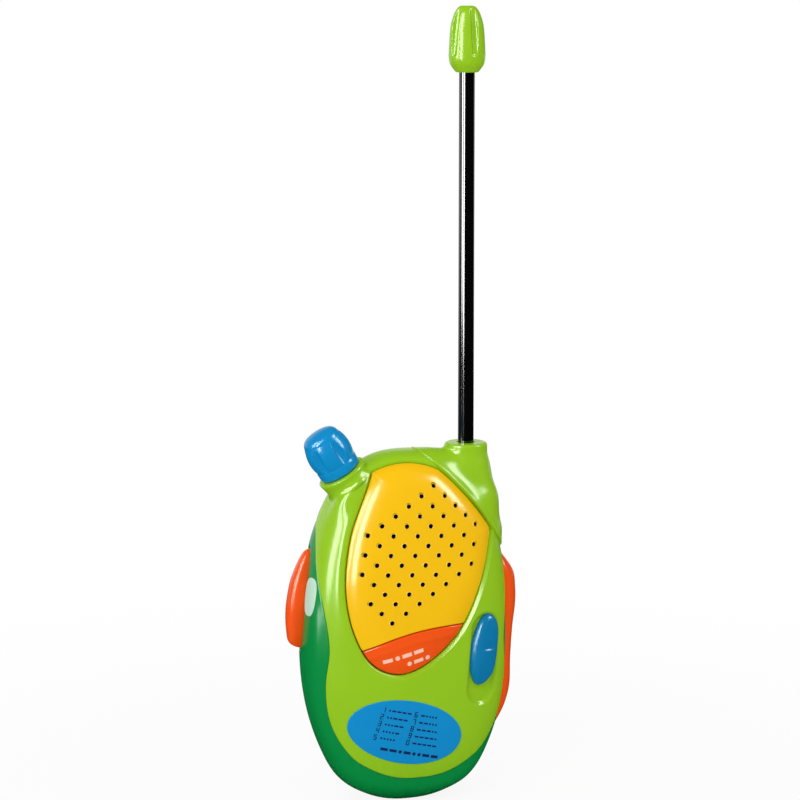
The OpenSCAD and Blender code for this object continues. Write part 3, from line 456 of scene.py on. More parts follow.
class Graph:
    """Adds nodes to a tree: type, settings, then the value, link or list of links of each socket."""

    def __init__(self, tree):
        self.tree = tree
        tree.nodes.clear()

    def node(self, kind, settings=None, sockets=None, out=0):
        made = self.tree.nodes.new(kind)
        for name, value in (settings or {}).items():
            setattr(made, name, value)
        for name, value in (sockets or {}).items():
            for part in value if isinstance(value, list) else [value]:
                if isinstance(part, Socket):
                    self.tree.links.new(part.out, made.inputs[name])
                else:
                    made.inputs[name].default_value = part
        return Socket(self, made.outputs[out]) if made.outputs else None

    def math(self, operation, *values):
        return self.node("ShaderNodeMath", {"operation": operation}, dict(enumerate(values)))

    def mix(self, factor, a, b):
        return self.node("ShaderNodeMix", {"data_type": "RGBA"}, {0: factor, 6: a, 7: b}, 2)

    def vector(self, operation, *values, out=0):
        return self.node("ShaderNodeVectorMath", {"operation": operation}, dict(enumerate(values)), out)

    def noise(self, place, scale, detail):
        return self.node("ShaderNodeTexNoise", {}, {"Vector": place, "Scale": scale, "Detail": detail})

    def bump(self, strength, distance, height):
        return self.node("ShaderNodeBump", {}, {"Strength": strength, "Distance": distance, "Height": height})

    def split(self, vector, *axes):
        return [self.node("ShaderNodeSeparateXYZ", {}, {0: vector}, k) for k in axes]

    def combine(self, parts):
        return self.node("ShaderNodeCombineXYZ", {}, parts)


def paint(r, g, b):
    """A colour as the screen shows it, 0 to 255, in linear light."""
    values = [v / 255 for v in (r, g, b)]
    return tuple(v / 12.92 if v < 0.04045 else ((v + 0.055) / 1.055) ** 2.4 for v in values) + (1.0,)


def shade(colour, by):
    return tuple(min(1.0, c * by) for c in colour[:3]) + (1.0,)


def finish_material(name):
    """A new material, its graph and the place on the object."""
    material = bpy.data.materials.new(name)
    material.use_nodes = True
    g = Graph(material.node_tree)
    return material, g, g.node("ShaderNodeTexCoord", out=3)


def principled(g, sockets):
    bsdf = g.node("ShaderNodeBsdfPrincipled", {}, sockets)
    g.node("ShaderNodeOutputMaterial", {}, {"Surface": bsdf})


def moulded(name, colour, rough=0.2, specular=0.32, drift=0.04, grain=0.05, wear_and_sheen=0.12):
    """Glossy moulded plastic: colour that drifts a little, fine orange peel, paler along rounded rims, where
    the paleness is partly rubbed wear and partly a painted highlight.
    """
    material, g, place = finish_material(name)
    broad = g.noise(place, 38.0, 3.0)
    speck = g.noise(place, 900.0, 2.0)
    rim = g.node("ShaderNodeAttribute", {"attribute_name": "rim"}, out=2)
    body = g.mix(broad, shade(colour, 1 - drift), shade(colour, 1 + drift))
    # Paler colour on the rims: partly rubbed wear, partly a painted highlight on the rolled edges
    rubbed_and_sheen = rim * wear_and_sheen * (0.5 + speck)
    principled(g, {
        "Base Color": g.mix(rubbed_and_sheen, body, shade(colour, 1.25)),
        "Roughness": rough * 0.85 + broad * (rough * 0.2) + speck * (rough * 0.1),
        "Specular IOR Level": specular, "Normal": g.bump(grain, 0.0002, g.noise(place, 420.0, 3.0))})
    return material


def metal(name, colour, rough, stretch):
    """Plain metal with drawn lines along one axis."""
    material, g, place = finish_material(name)
    drawn = g.noise(g.vector("MULTIPLY", place, stretch), 900.0, 4.0)
    stain = g.noise(place, 160.0, 3.0)
    principled(g, {
        "Base Color": g.mix(stain, shade(colour, 0.8), shade(colour, 1.05)), "Metallic": 1.0,
        "Roughness": drawn * 0.25 + (rough - 0.1), "Normal": g.bump(0.12, 0.0001, drawn)})
    return material


def matte(name, colour, second, scale, rough, bump):
    """A dull surface of two mixed tones, such as paper, foam, ferrite or a printed jacket."""
    material, g, place = finish_material(name)
    mottle = g.noise(place, scale, 5.0)
    fine = g.noise(place, scale * 9, 3.0)
    principled(g, {
        "Base Color": g.mix(mottle * 0.7 + fine * 0.3, colour, second),
        "Roughness": rough - 0.08 + fine * 0.16, "Specular IOR Level": 0.3,
        "Normal": g.bump(bump, 0.0003, fine)})
    return material


LIME = moulded("lime_plastic", paint(150, 202, 28))
GREEN = moulded("green_plastic", paint(0, 143, 66))
YELLOW = moulded("yellow_plastic", paint(252, 196, 2))
ORANGE = moulded("orange_plastic", paint(250, 86, 12))
BLUE = moulded("blue_plastic", paint(0, 143, 206))
# A darker copy of the blue for the slider: painted shade for its side turned away from the lamps
SHADED_SLIDER_BLUE = moulded("blue_plastic_painted_shade", paint(0, 122, 174))
LABEL_BLUE = moulded("blue_label", paint(0, 142, 208), rough=0.38, specular=0.12, grain=0.03, wear_and_sheen=0.0)
LABEL_MINT = moulded("mint_label", paint(190, 225, 205), rough=0.4, specular=0.2, grain=0.03, wear_and_sheen=0.0)
INK_NAVY = moulded("navy_ink", paint(8, 36, 92), rough=0.5, specular=0.15, grain=0.02, wear_and_sheen=0.0)
INK_PEACH = moulded("peach_ink", paint(255, 205, 178), rough=0.45, specular=0.15, grain=0.02, wear_and_sheen=0.0)
ROD_BLACK = moulded("black_rod", paint(4, 4, 4), rough=0.1, specular=0.9, drift=0.2, grain=0.01)
# A paler copy of the yellow for the lips of the sound holes: a painted highlight on their rounded rims
YELLOW_LIP_SHEEN = moulded("yellow_lip_painted_sheen", paint(255, 208, 60), rough=0.24, grain=0.03)
STEEL = metal("plain_steel", paint(196, 198, 200), 0.34, (0.15, 1.0, 1.0))
FINISHES = {
    "lime": LIME, "green": GREEN, "yellow": YELLOW, "orange": ORANGE, "blue": BLUE,
    "label_blue": LABEL_BLUE, "label_mint": LABEL_MINT, "black_rod": ROD_BLACK, "steel": STEEL,
    "aluminium_can": metal("aluminium_can", paint(205, 207, 210), 0.3, (1.0, 1.0, 0.15)),
    "sleeve": moulded("shrunk_sleeve", paint(40, 54, 118), rough=0.35),
    "magnet": matte("ferrite", paint(62, 64, 68), paint(88, 90, 94), 240.0, 0.7, 0.4),
    "paper_cone": matte("pressed_paper", paint(30, 30, 32), paint(52, 50, 48), 420.0, 0.85, 0.6),
    "foam": matte("closed_foam", paint(40, 40, 42), paint(66, 66, 68), 900.0, 0.95, 0.8),
    "board": matte("circuit_board", paint(58, 112, 62), paint(84, 138, 74), 90.0, 0.4, 0.1),
    "black_part": matte("black_moulding", paint(24, 24, 26), paint(40, 40, 42), 300.0, 0.5, 0.15),
    "white_part": matte("white_moulding", paint(228, 228, 222), paint(242, 242, 238), 200.0, 0.45, 0.1),
    "battery_can": matte("battery_jacket", paint(70, 76, 84), paint(96, 102, 110), 60.0, 0.4, 0.08),
    "lead": matte("wire_cover", paint(120, 26, 26), paint(150, 40, 36), 260.0, 0.45, 0.1),
}
for part in frame["record"]["subparts"]:
    for place in frame["nodes"][part["node"]].material_slots:
        place.material = FINISHES[part["material_slot"]]


def link(name, data):
    made = bpy.data.objects.new(name, data)
    bpy.context.scene.collection.objects.link(made)
    return made


def mark_points(mesh, label, values):
    mesh.attributes.new(label, "FLOAT", "POINT").data.foreach_set("value", np.asarray(values, np.float32))


def add_mesh(name, points, faces, material, rim=None, sharp=38.0):
    """A mesh object at the origin from points in millimetres."""
    mesh = bpy.data.meshes.new(name)
    mesh.from_pydata((np.asarray(points, float) * MM).tolist(), [], [tuple(f) for f in faces])
    mesh.shade_smooth()
    mesh.set_sharp_from_angle(angle=math.radians(sharp))
    mesh.materials.append(material)
    if rim is not None:
        mark_points(mesh, "rim", np.concatenate([rim, np.zeros(len(mesh.vertices) - len(rim))]))
    return link(name, mesh)


def settle(piece, body, slot, *nodes):
    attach(piece, body)
    if nodes:
        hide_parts(*nodes)
    return piece


# Where the rolled rims are painted paler: partly rubbed wear, partly a painted highlight
def rim_wear_and_sheen_mask(falls):
    full_wear_and_sheen = 0.6
    return np.clip(np.sum([smooth(f / full_wear_and_sheen) for f in falls], 0), 0, 1)


def closed_piece(name, sheet, outer, inner, material, falls, *place):
    """A piece between an outer sheet and its inner copy, settled on its body."""
    rim = rim_wear_and_sheen_mask(falls) if falls else None
    return settle(add_mesh(name, *walled(sheet.tris, outer, inner), material, rim), *place)


# Power slider: its own frame, where u runs across, v into the case and w up
SLIDER = np.array([24.3, 0, 57.6])
SLIDER[1] = crown_y(SLIDER[0], SLIDER[2])
LEAN, TURN = math.radians(4.3), math.radians(18)
SLIDER_TURN = lean_matrix(LEAN) @ np.array([
    [math.cos(TURN), -math.sin(TURN), 0], [math.sin(TURN), math.cos(TURN), 0], [0, 0, 1]])
SLIDER_HALF = (6.0, 13.5)
SLIDER_PROUD = 2.4
CHANNEL_R = 6.6
CHANNEL_DEPTH = 1.8
CHANNEL_TRAVEL = 7.0
CHANNEL_EDGE = 1.7
CHANNEL_END = 0.6
CHANNEL_START = 0.12


def to_slider(points):
    return (points - SLIDER) @ SLIDER_TURN


def from_slider(points):
    return points @ SLIDER_TURN.T + SLIDER


def channel_line(points, normals):
    """Distance to the rim of the slider's channel, negative inside it."""
    u, _, w = to_slider(points).T
    top = SLIDER_HALF[1] + CHANNEL_END - CHANNEL_R
    low = -top - CHANNEL_TRAVEL
    away = np.hypot(u, w - np.clip(w, low, top)) - CHANNEL_R
    return np.where(points[:, 1] < 0, away, FAR)


def channel_fall(points, normals):
    """Move of the skin down to the channel's floor."""
    local = to_slider(points)
    share = smooth(-channel_line(points, normals) / CHANNEL_EDGE + CHANNEL_START)
    down = np.maximum(CHANNEL_DEPTH - local[:, 1], 0) * share
    return down[:, None] * SLIDER_TURN[:, 1]


# Fall of the case to the grille: the soft roll, the bevel and the bevel's easing
ROLL_W, ROLL_DROP = 2.6, 1.3
BEVEL_DROP, BEVEL_W, EASE_DROP, EASE_W = 1.3, 1.17, 0.25, 1.8


def grille_bevel(points, normals):
    """Fall of the case to the grille's edge: a soft roll, and a plain bevel at the lower right."""
    away = grille_line(points, normals)
    grow = grille_line.flat(points)[1]
    bevel = smooth((0.9 * grow[:, 0] - 0.35 * grow[:, 1]) / 0.7)
    plain = BEVEL_DROP * np.clip(1 - away / BEVEL_W, 0, 1) + EASE_DROP * np.clip(1 - away / EASE_W, 0, 1) ** 2
    return bevel * plain + (1 - bevel) * roll(-away, ROLL_W) * ROLL_DROP / ROLL_W


def make_front():
    step, deepest, seam_r, parting_r, extra = 1.0, 8.5, 0.45, 0.7, 0.3
    sheet = Sheet(case_net(skin_run(deepest), step), FRONT, step)
    sheet.trim(parting_line, parting_r)
    sheet.trim(seam_line, seam_r, keep=1)
    sheet.trim(grille_line, ROLL_W, keep=1)
    for level in (0.3, -0.3, -0.9, -1.6):
        sheet.cut(channel_line, level)
    points, normals, falls = sheet.lift()
    falls[-1] = grille_bevel(points, normals)
    sink = channel_fall(points, normals)
    outer = points + normals * (collar_hump(points) - np.sum(falls, 0))[:, None] + sink
    inner = points - normals * (WALL + extra) + sink
    closed_piece("front_case", sheet, outer, inner, LIME, falls, "case", "lime", "front_shell")


def rounded(corners, radius, steps=6):
    """A polygon whose corners are rounded."""
    p = np.array(corners, float)
    made = []
    for i in range(len(p)):
        to_last, to_next = unit(p[i - 1] - p[i]), unit(p[(i + 1) % len(p)] - p[i])
        half = math.acos(np.clip(to_last @ to_next, -1, 1)) / 2
        back = radius / math.tan(half)
        a, c = p[i] + to_last * back, p[i] + to_next * back
        for t in np.linspace(0, 1, steps + 1):
            made.append((1 - t) ** 2 * a + 2 * t * (1 - t) * p[i] + t * t * c)
    return np.array(made)


def circle(mid, radius, steps=48):
    a = np.linspace(0, 2 * math.pi, steps, endpoint=False)
    return np.array(mid) + radius * np.column_stack([np.cos(a), np.sin(a)])


def nearest(lines):
    """The nearest of several lines."""
    return lambda points, normals: np.min([line(points, normals) for line in lines], 0)


def beside(line, out):
    """A line moved outwards, or inwards where the move is negative."""
    return lambda points, normals: line(points, normals) - out


# Rear shell, with its battery bay and door
DOOR_HALF_W, DOOR_BASE, DOOR_HINGE = 15.95, 23.0, (11.0, 70.5)
DOOR_T, DOOR_TAIL_R, DOOR_TAIL_Z, DOOR_SCREW_Z = 2.0, 5.5, 18.5, 17.9
BAY_HALF_W, BAY_BASE, BAY_TOP, BAY_FLOOR = 13.55, 22.0, 76.0, -8.1
SCREWS = [(-20.5, 22), (20.5, 22), (28, 82), (-22.5, 100)]
SCREW_ROOM = 2.8
TALK_MID, TALK_HALF, TALK_POWER = (3.2, 76.3), (5.0, 18.8), 2.6


def door_outline(margin):
    w, tail = DOOR_HALF_W + margin, DOOR_TAIL_R + margin
    base, top = DOOR_BASE - margin, DOOR_HINGE[1] + 1 + margin
    a = np.linspace(0, -math.pi, 25)
    bow = np.column_stack([tail * np.cos(a), DOOR_TAIL_Z + tail * np.sin(a)])
    body = rounded([(-w, base), (-w, top), (w, top), (w, base)], 1.2)
    return np.concatenate([body, [(tail, base)], bow, [(-tail, base)]])


def at_back(points):
    return points[:, 1] > 8


def on_left(points):
    return points[:, 0] < 0


# Swellings of the rear shell: height, middle and reach up the case
LEFT_SWELL, LEFT_Z, LEFT_RUN = 1.0, 56, 24
FOOT_SWELL, FOOT_Z, FOOT_RUN = 0.9, 9, 8
PARTING_STEP, PARTING_RUN = 0.3, 5


def rear_rise(points, normals):
    """Rise of the rear shell on the left and at its foot, off the back, less its step at the parting line."""
    x, z = points[:, 0], points[:, 2]
    behind = parting_line(points, normals)
    left = LEFT_SWELL * np.exp(-((z - LEFT_Z) / LEFT_RUN) ** 2) * smooth(-x / 25)
    foot = FOOT_SWELL * np.exp(-((z - FOOT_Z) / FOOT_RUN) ** 2) * smooth((z - 0.5) / 7)
    off_back = 1 - smooth(normals[:, 1] / 0.8)
    return (left + foot) * off_back * smooth(behind / 6) - PARTING_STEP * (1 - smooth(behind / PARTING_RUN))


def make_rear():
    step, foremost = 1.0, -19.5
    sheet = Sheet(case_net(RUN[-1] - skin_run(foremost), step), REAR, step)
    talk_line = Outline(superellipse(TALK_MID, np.array(TALK_HALF) + GAP, TALK_POWER), SIDE, on_left)
    door_line = Outline(door_outline(GAP), FACE, at_back)
    screw_line = nearest([Outline(circle(s, SCREW_ROOM), FACE, at_back) for s in SCREWS])
    for line, radius in ((parting_line, 0.5), (talk_line, 0.8), (door_line, 0.5), (screw_line, 0.4)):
        sheet.trim(line, radius, keep=1)
    points, normals, falls = sheet.lift()
    outer = points + normals * (rear_rise(points, normals) - np.sum(falls, 0))[:, None]
    outer[:, 2] = np.maximum(outer[:, 2], 0)
    inner = points - normals * WALL
    closed_piece("rear_case", sheet, outer, inner, GREEN, falls, "case", "green", "rear_shell")


def flat_skin(y):
    """A plane at a depth that looks back."""
    return Skin(lambda plan: np.column_stack([plan[:, 0], np.full(len(plan), y), plan[:, 1]]), turn=-1)


def make_bay():
    """Walls of the battery bay and the ledge that the door closes on."""
    rib, ledge_t, step = 1.4, 1.5, 1.5
    seat, hinge = BACK_DEPTH - DOOR_T, DOOR_HINGE[1]
    ledge = Sheet(even_plan((-18, 12), (18, 77), step), flat_skin(seat), step)
    w = BAY_HALF_W
    ledge.cut(Outline(door_outline(1.2), FACE), keep=-1)
    ledge.cut(Outline([(-w, BAY_BASE), (w, BAY_BASE), (w, hinge), (-w, hinge)], FACE), keep=1)
    points, normals = ledge.skin.at(ledge.plan)
    plate = walled(ledge.tris, points, points - normals * ledge_t)
    corners = []
    for out in (0, rib):
        w, low, high = BAY_HALF_W + out, BAY_BASE - out, BAY_TOP + out
        for y in (seat, BAY_FLOOR - out):
            corners += [(-w, y, low), (w, y, low), (w, y, high), (-w, y, high)]
    faces = [(4, 5, 6, 7), (15, 14, 13, 12)]
    for k in range(4):
        n = (k + 1) % 4
        faces += [(k, n, n + 4, k + 4), (n + 8, k + 8, k + 12, n + 12), (n, k, k + 8, n + 8)]
    lid = [(-w, w), (seat, seat + 1.0), (hinge + 2.5, BAY_TOP + rib)]
    box = [(x, y, z) for x in lid[0] for y in lid[1] for z in lid[2]]
    sides = [(0, 1, 3, 2), (4, 6, 7, 5), (0, 4, 5, 1), (2, 3, 7, 6), (0, 2, 6, 4), (1, 5, 7, 3)]
    start = len(plate[0])
    faces += [tuple(len(corners) + i for i in f) for f in sides]
    faces = [tuple(f) for f in plate[1]] + [tuple(start + i for i in f) for f in faces]
    bay = add_mesh("battery_bay", np.concatenate([plate[0], corners, box]), faces, GREEN, sharp=30.0)
    settle(bay, "case", "green")


def make_door():
    step, edge_r, room_depth, rim_drop, rim_w = 0.8, 0.7, 1.2, 0.12, 0.35
    sheet = Sheet(even_plan((-18, 11), (18, 74), step), flat_skin(BACK_DEPTH), step)
    edge = Outline(door_outline(0), FACE)
    screw = Outline(circle((0, DOOR_SCREW_Z), SCREW_ROOM), FACE)
    sheet.trim(edge, edge_r)
    for level in (rim_w, 0.12, 0.0, -0.04):
        sheet.cut(screw, level)
    points, normals, falls = sheet.lift()
    room = screw(points, normals)
    sunk = np.where(room <= -0.02, room_depth, rim_drop * smooth(1 - room / rim_w))
    outer = points - normals * (falls[0] + sunk)[:, None]
    inner = points - normals * DOOR_T
    closed_piece("battery_door_plate", sheet, outer, inner, GREEN, falls, "door", "green", "battery_door")


# Antenna shoulder: the case, a swelling and the boss melted into one skin, seen from a point inside it
ANTENNA = np.array([23.5, -4.0])
BOSS_R, BOSS_TOP = 7.9, node_box("antenna_shoulder")[1][2]
SHOULDER_MID = np.array([ANTENNA[0], ANTENNA[1], 104.0])
SHOULDER_BALLS = {
    "boss": ((23.5, -4.0, 121.5), 7.9), "high": ((25.6, -5.6, 111.0), 8.3), "low": ((27.0, -6.0, 100.0), 9.2),
    "neck": ((23.5, -4.0, 122.4), 7.9), "crest": ((10.0, -4.0, 121.7), 8.3)}
SHOULDER_SWELLS = (("boss", "high"), ("high", "low"), ("neck", "crest"))
SWELL_MELT, BOSS_MELT, CASE_MELT = 5.0, 1.6, 4.0
BOSS_EDGE, BOSS_FOOT = 1.1, 100
ROD_R = 2.9


def case_level(p):
    x, y, z = np.moveaxis(p, -1, 0)
    r = reach(x, z - WAIST)
    front = (r ** CROWN_POWER + np.maximum(-y / FRONT_DEPTH, 0) ** CROWN_POWER) ** (1 / CROWN_POWER)
    return np.where(y < 0, front, r / section_at(np.clip(y, 0, BACK_DEPTH)))


def case_field(p):
    """How far outside the case a point is, about in millimetres, and the direction away from it."""
    e = 0.05
    slope = np.stack([(case_level(p + d) - case_level(p - d)) / (2 * e) for d in np.eye(3) * e], -1)
    size = np.maximum(np.linalg.norm(slope, axis=-1), 1e-6)
    return (case_level(p) - 1) / size, slope / size[..., None]


def melt(a, b, k):
    """The lesser of two distances, blended where they are within k of each other."""
    h = np.maximum(k - np.abs(a - b), 0) / k
    return np.minimum(a, b) - h * h * k / 4


def swell_field(p, first, last):
    """Distance to the skin of two balls and the cone between them."""
    (a, a_r), (b, b_r) = SHOULDER_BALLS[first], SHOULDER_BALLS[last]
    run = np.array(b) - np.array(a)
    t = np.clip((p - np.array(a)) @ run / (run @ run), 0, 1)
    return np.linalg.norm(p - np.array(a) - t[..., None] * run, axis=-1) - a_r - t * (b_r - a_r)


def shoulder_field(p):
    swell = swell_field(p, *SHOULDER_SWELLS[0])
    for pair in SHOULDER_SWELLS[1:]:
        swell = melt(swell, swell_field(p, *pair), SWELL_MELT)
    q = np.stack([
        np.linalg.norm(p[..., :2] - ANTENNA, axis=-1) - BOSS_R + BOSS_EDGE,
        np.abs(p[..., 2] - (BOSS_TOP + BOSS_FOOT) / 2) - (BOSS_TOP - BOSS_FOOT) / 2 + BOSS_EDGE], -1)
    boss = np.minimum(q.max(-1), 0) + np.linalg.norm(np.maximum(q, 0), axis=-1) - BOSS_EDGE
    return melt(melt(swell, boss, BOSS_MELT), case_field(p)[0], CASE_MELT)


def shoulder_skin():
    """Skin over rings round the antenna's axis, from solved distances."""
    share = np.linspace(0, 1, 260)
    around = 200
    fall = np.interp(share, [0, 0.08, 0.3, 0.5, 1], np.radians([0, 11.5, 18, 28, 150]))
    turn = np.linspace(0, 2 * math.pi, around + 1)
    f, t = np.meshgrid(fall, turn, indexing="ij")
    aim = np.stack([np.sin(f) * np.cos(t), np.sin(f) * np.sin(t), np.cos(f)], -1)
    farthest, nearest, pace = 46.0, 2, 0.9
    outside = np.full(f.shape, farthest)
    for _ in range(60):
        away = shoulder_field(SHOULDER_MID + aim * outside[..., None])
        outside = np.maximum(outside - pace * away, nearest)

    def place(plan):
        r = np.clip(np.hypot(*plan.T), 0, 1)
        a = np.arctan2(plan[:, 1], plan[:, 0]) % (2 * math.pi)
        i = np.clip(r * (len(share) - 1), 0, len(share) - 1.001)
        j = np.clip(a / (2 * math.pi) * around, 0, around - 0.001)
        i0, j0 = i.astype(int), j.astype(int)
        u, v = i - i0, j - j0
        away = (outside[i0, j0] * (1 - u) * (1 - v) + outside[i0 + 1, j0] * u * (1 - v)
                + outside[i0, j0 + 1] * (1 - u) * v + outside[i0 + 1, j0 + 1] * u * v)
        lean = np.interp(r, share, fall)
        way = np.column_stack([np.sin(lean) * np.cos(a), np.sin(lean) * np.sin(a), np.cos(lean)])
        return SHOULDER_MID + way * away[:, None]

    return Skin(place, step=0.006)


def make_shoulder():
    seam_r, parting_r, rod_rim, seam_lift, lift_run = 0.45, 0.6, 0.4, 0.25, 3
    sheet = Sheet(ring_plan(np.linspace(0, 1, 125)[1:], 150), shoulder_skin(), 0.008)
    rod_line = Outline(circle(ANTENNA, ROD_R + 0.2), [0, 1], lambda p: p[:, 2] > BOSS_TOP - 2)
    for line, keep in ((seam_line, -1), (parting_line, -1), (rod_line, 1)):
        sheet.cut(line, keep=keep)
    for share in SHORT_RIM:
        sheet.cut(seam_line, -seam_r * share)
        sheet.cut(parting_line, -parting_r * share)
    points, normals = sheet.skin.at(sheet.plan)
    beyond = seam_line(points, normals)
    falls = [
        roll(beyond, seam_r), roll(parting_line(points, normals), parting_r),
        roll(-rod_line(points, normals), rod_rim)]
    lift = seam_lift * smooth(1 + beyond / lift_run)
    outer = points + normals * (lift - np.sum(falls, 0))[:, None]
    inner = points - normals * WALL
    closed_piece("shoulder_case", sheet, outer, inner, LIME, falls, "case", "lime", "antenna_shoulder")


# Lathed pieces
def ring_faces(rings, around, closed):
    """Quads between rings of points."""
    k = np.arange(around)
    n = (k + 1) % around
    faces = []
    for i in range(rings if closed else rings - 1):
        low, high = i * around, (i + 1) % rings * around
        faces.append(np.column_stack([low + k, high + k, high + n, low + n]))
    return [tuple(f) for f in np.concatenate(faces)]


def lathe(profile, around):
    """Rings round Z through points of radius and height; the ends meet in a point on the axis."""
    a = 2 * math.pi * np.arange(around) / around
    points = np.concatenate([
        np.column_stack([r * np.cos(a), r * np.sin(a), np.full(around, h)]) for r, h in profile])
    faces = ring_faces(len(profile), around, False)
    for ring, way in ((0, 1), (len(profile) - 1, -1)):
        points = np.concatenate([points, [(0, 0, profile[ring][1])]])
        rim = [ring * around + i for i in range(around)]
        for pair in zip(rim, rim[1:] + rim[:1]):
            faces.append((len(points) - 1,) + pair[::way])
    return points, faces


KNOB_JOINT = next(joint for joint in frame["record"]["behaviour"]["joints"] if joint["name"] == "knob_turn")
COLLAR = np.array(KNOB_JOINT["pos_m"]) / MM
KNOB_TILT = math.atan2(KNOB_JOINT["axis"][0], KNOB_JOINT["axis"][2])
COLLAR_TURN = lean_matrix(KNOB_TILT)
COLLAR_R, COLLAR_TOP, COLLAR_LIP, COLLAR_BORE, COLLAR_DEEP = 9.25, -1.3, 2.1, 3.9, -6.0
HUMP, HUMP_R, HUMP_W, HUMP_AHEAD, HUMP_ROOM = 2.6, 9.0, 4.0, 9, 3.5


def from_collar(points):
    return np.asarray(points) @ COLLAR_TURN.T + COLLAR


def collar_hump(points):
    """Rise of the case to the front of the collar."""
    x, y, h = ((points - COLLAR) @ COLLAR_TURN).T
    share = smooth(-y / HUMP_AHEAD) * smooth(grille_line.flat(points)[0] / HUMP_ROOM)
    return np.where(h > -30, HUMP * np.exp(-((np.hypot(x, y) - HUMP_R) / HUMP_W) ** 2) * share, 0)


def humped_field(p):
    away, normal = case_field(p)
    return away - collar_hump(p.reshape(-1, 3)).reshape(away.shape), normal


def make_collar():
    """Collar under the knob, flaring into the case all round."""
    around = 144
    a = 2 * math.pi * np.arange(around) / around
    spoke = np.column_stack([np.cos(a), np.sin(a), np.zeros(around)])
    flange = [
        (COLLAR_BORE, COLLAR_DEEP), (COLLAR_BORE, COLLAR_TOP - 0.1), (COLLAR_BORE + 0.1, COLLAR_TOP),
        (COLLAR_R - 0.6, COLLAR_TOP), (COLLAR_R - 0.2, COLLAR_TOP - 0.12), (COLLAR_R, COLLAR_TOP - 0.4),
        (COLLAR_R, -COLLAR_LIP)]
    neck = arc_through((COLLAR_R, -COLLAR_LIP), (COLLAR_R - 0.45, -3.9), (COLLAR_R - 0.8, COLLAR_DEEP), 40)
    depth = np.linspace(-COLLAR_LIP, -18, 280)
    width = np.interp(-depth, -neck[:, 1], neck[:, 0])
    local = spoke[:, None, :] * width[None, :, None] + np.array([0, 0, 1]) * depth[None, :, None]
    inside = humped_field(from_collar(local))[0] < 0
    meet = depth[np.where(inside.any(1), inside.argmax(1), len(depth) - 1)]
    for _ in range(6):
        meet = (np.roll(meet, 1) + 2 * meet + np.roll(meet, -1)) / 4

    def on_neck(h):
        return from_collar(spoke * np.interp(-h, -depth, width)[:, None] + np.column_stack([h * 0, h * 0, h]))

    foot = on_neck(meet)
    least, most, clear, tuck = 0.4, 1.9, 0.9, 0.5
    flare = np.clip(grille_line.flat(foot)[0] - clear, least, most)
    top = np.minimum(meet + flare, -COLLAR_LIP)
    normal = humped_field(foot)[1]
    out = spoke @ COLLAR_TURN.T
    out = unit(out - normal * (out * normal).sum(1, keepdims=True))
    end = foot + out * flare[:, None]
    for _ in range(4):
        away, normal = humped_field(end)
        end = end - normal * away[:, None]
    rows = [from_collar(spoke * r + [0, 0, h]) for r, h in flange]
    rows += [on_neck(-COLLAR_LIP + (top + COLLAR_LIP) * t) for t in (0.25, 0.5, 0.75, 1.0)]
    start = rows[-1]
    rows += [(1 - t) ** 2 * start + 2 * t * (1 - t) * foot + t * t * end for t in np.linspace(0, 1, 13)[1:]]
    away, normal = humped_field(end + out * tuck)
    rows += [end + out * tuck - normal * (away + 0.25)[:, None], end - normal * 1.2]
    collar = add_mesh("knob_collar", np.concatenate(rows), ring_faces(len(rows), around, True), LIME)
    settle(collar, "case", "lime")


# Speaker grille and code key
HOLE_START, HOLE_PITCH, HOLE_ROW, HOLE_LEAN, HOLE_TILT = (5.2, 119.3), 9.1, 3.48, 0.64, 0.24
HOLE_CUT, HOLE_R, HOLE_LIP = 1.03, 0.86, 0.13
HOLE_LINES = [(0, 5), (0, 6), (0, 7), (0, 7), (0, 8), (1, 8), (2, 8)]


def hole_places():
    made = []
    for i, (first, last) in enumerate(HOLE_LINES):
        for j in range(first, last + 1):
            row, place = i + j, i - j
            made.append((HOLE_START[0] + place * HOLE_PITCH / 2 - row * HOLE_LEAN,
                         HOLE_START[1] - row * HOLE_ROW - place * HOLE_TILT))
    return np.array(made)


def hole_line(points, normals):
    """Distance to the nearest of the sound holes, negative inside one."""
    away = np.full(len(points), FAR)
    for place in hole_places():
        away = np.minimum(away, np.hypot(*(points[:, FACE] - place).T) - HOLE_CUT)
    return away


PANEL_DROP, PANEL_RISE, PANEL_RUN = 0.95, 1.95, 9
PANEL_RIM, PANEL_SEAM, PANEL_T = 0.7, 0.6, 2.6
panel_line = beside(grille_line, -GAP)


def pillow(inside):
    """Rise of a panel from its rim to its full height."""
    return -PANEL_DROP + PANEL_RISE * (1 - (1 - np.clip(inside / PANEL_RUN, 0, 1)) ** 2)


def make_grille():
    """The panel, and an uncut copy of its face that its sound holes are set on."""
    step, web, rim_w, rim_run, behind = 0.6, 0.9, 2.0, 3.0, 0.3
    sheet = Sheet(even_plan((-38, -10), (38, 75), step), FRONT, step)
    seam = beside(key_line, GAP / 2)
    sheet.trim(panel_line, PANEL_RIM)
    sheet.trim(seam, PANEL_SEAM, keep=1)

    def face():
        points, normals, falls = sheet.lift()
        inside = -panel_line(points, normals)
        return points + normals * (pillow(inside) - np.sum(falls, 0))[:, None], normals, inside, falls

    uncut = add_mesh("uncut_panel", face()[0], sheet.tris, YELLOW)
    sheet.cut(hole_line, keep=1)
    outer, normals, inside, falls = face()
    thick = np.interp(inside, [0, rim_w, rim_run], [PANEL_T, PANEL_T, web])
    inner = outer - normals * (thick + np.where(inside < rim_run, behind, 0))[:, None]
    closed_piece("speaker_panel", sheet, outer, inner, YELLOW, falls, "case", "yellow", "speaker_grille")
    return uncut


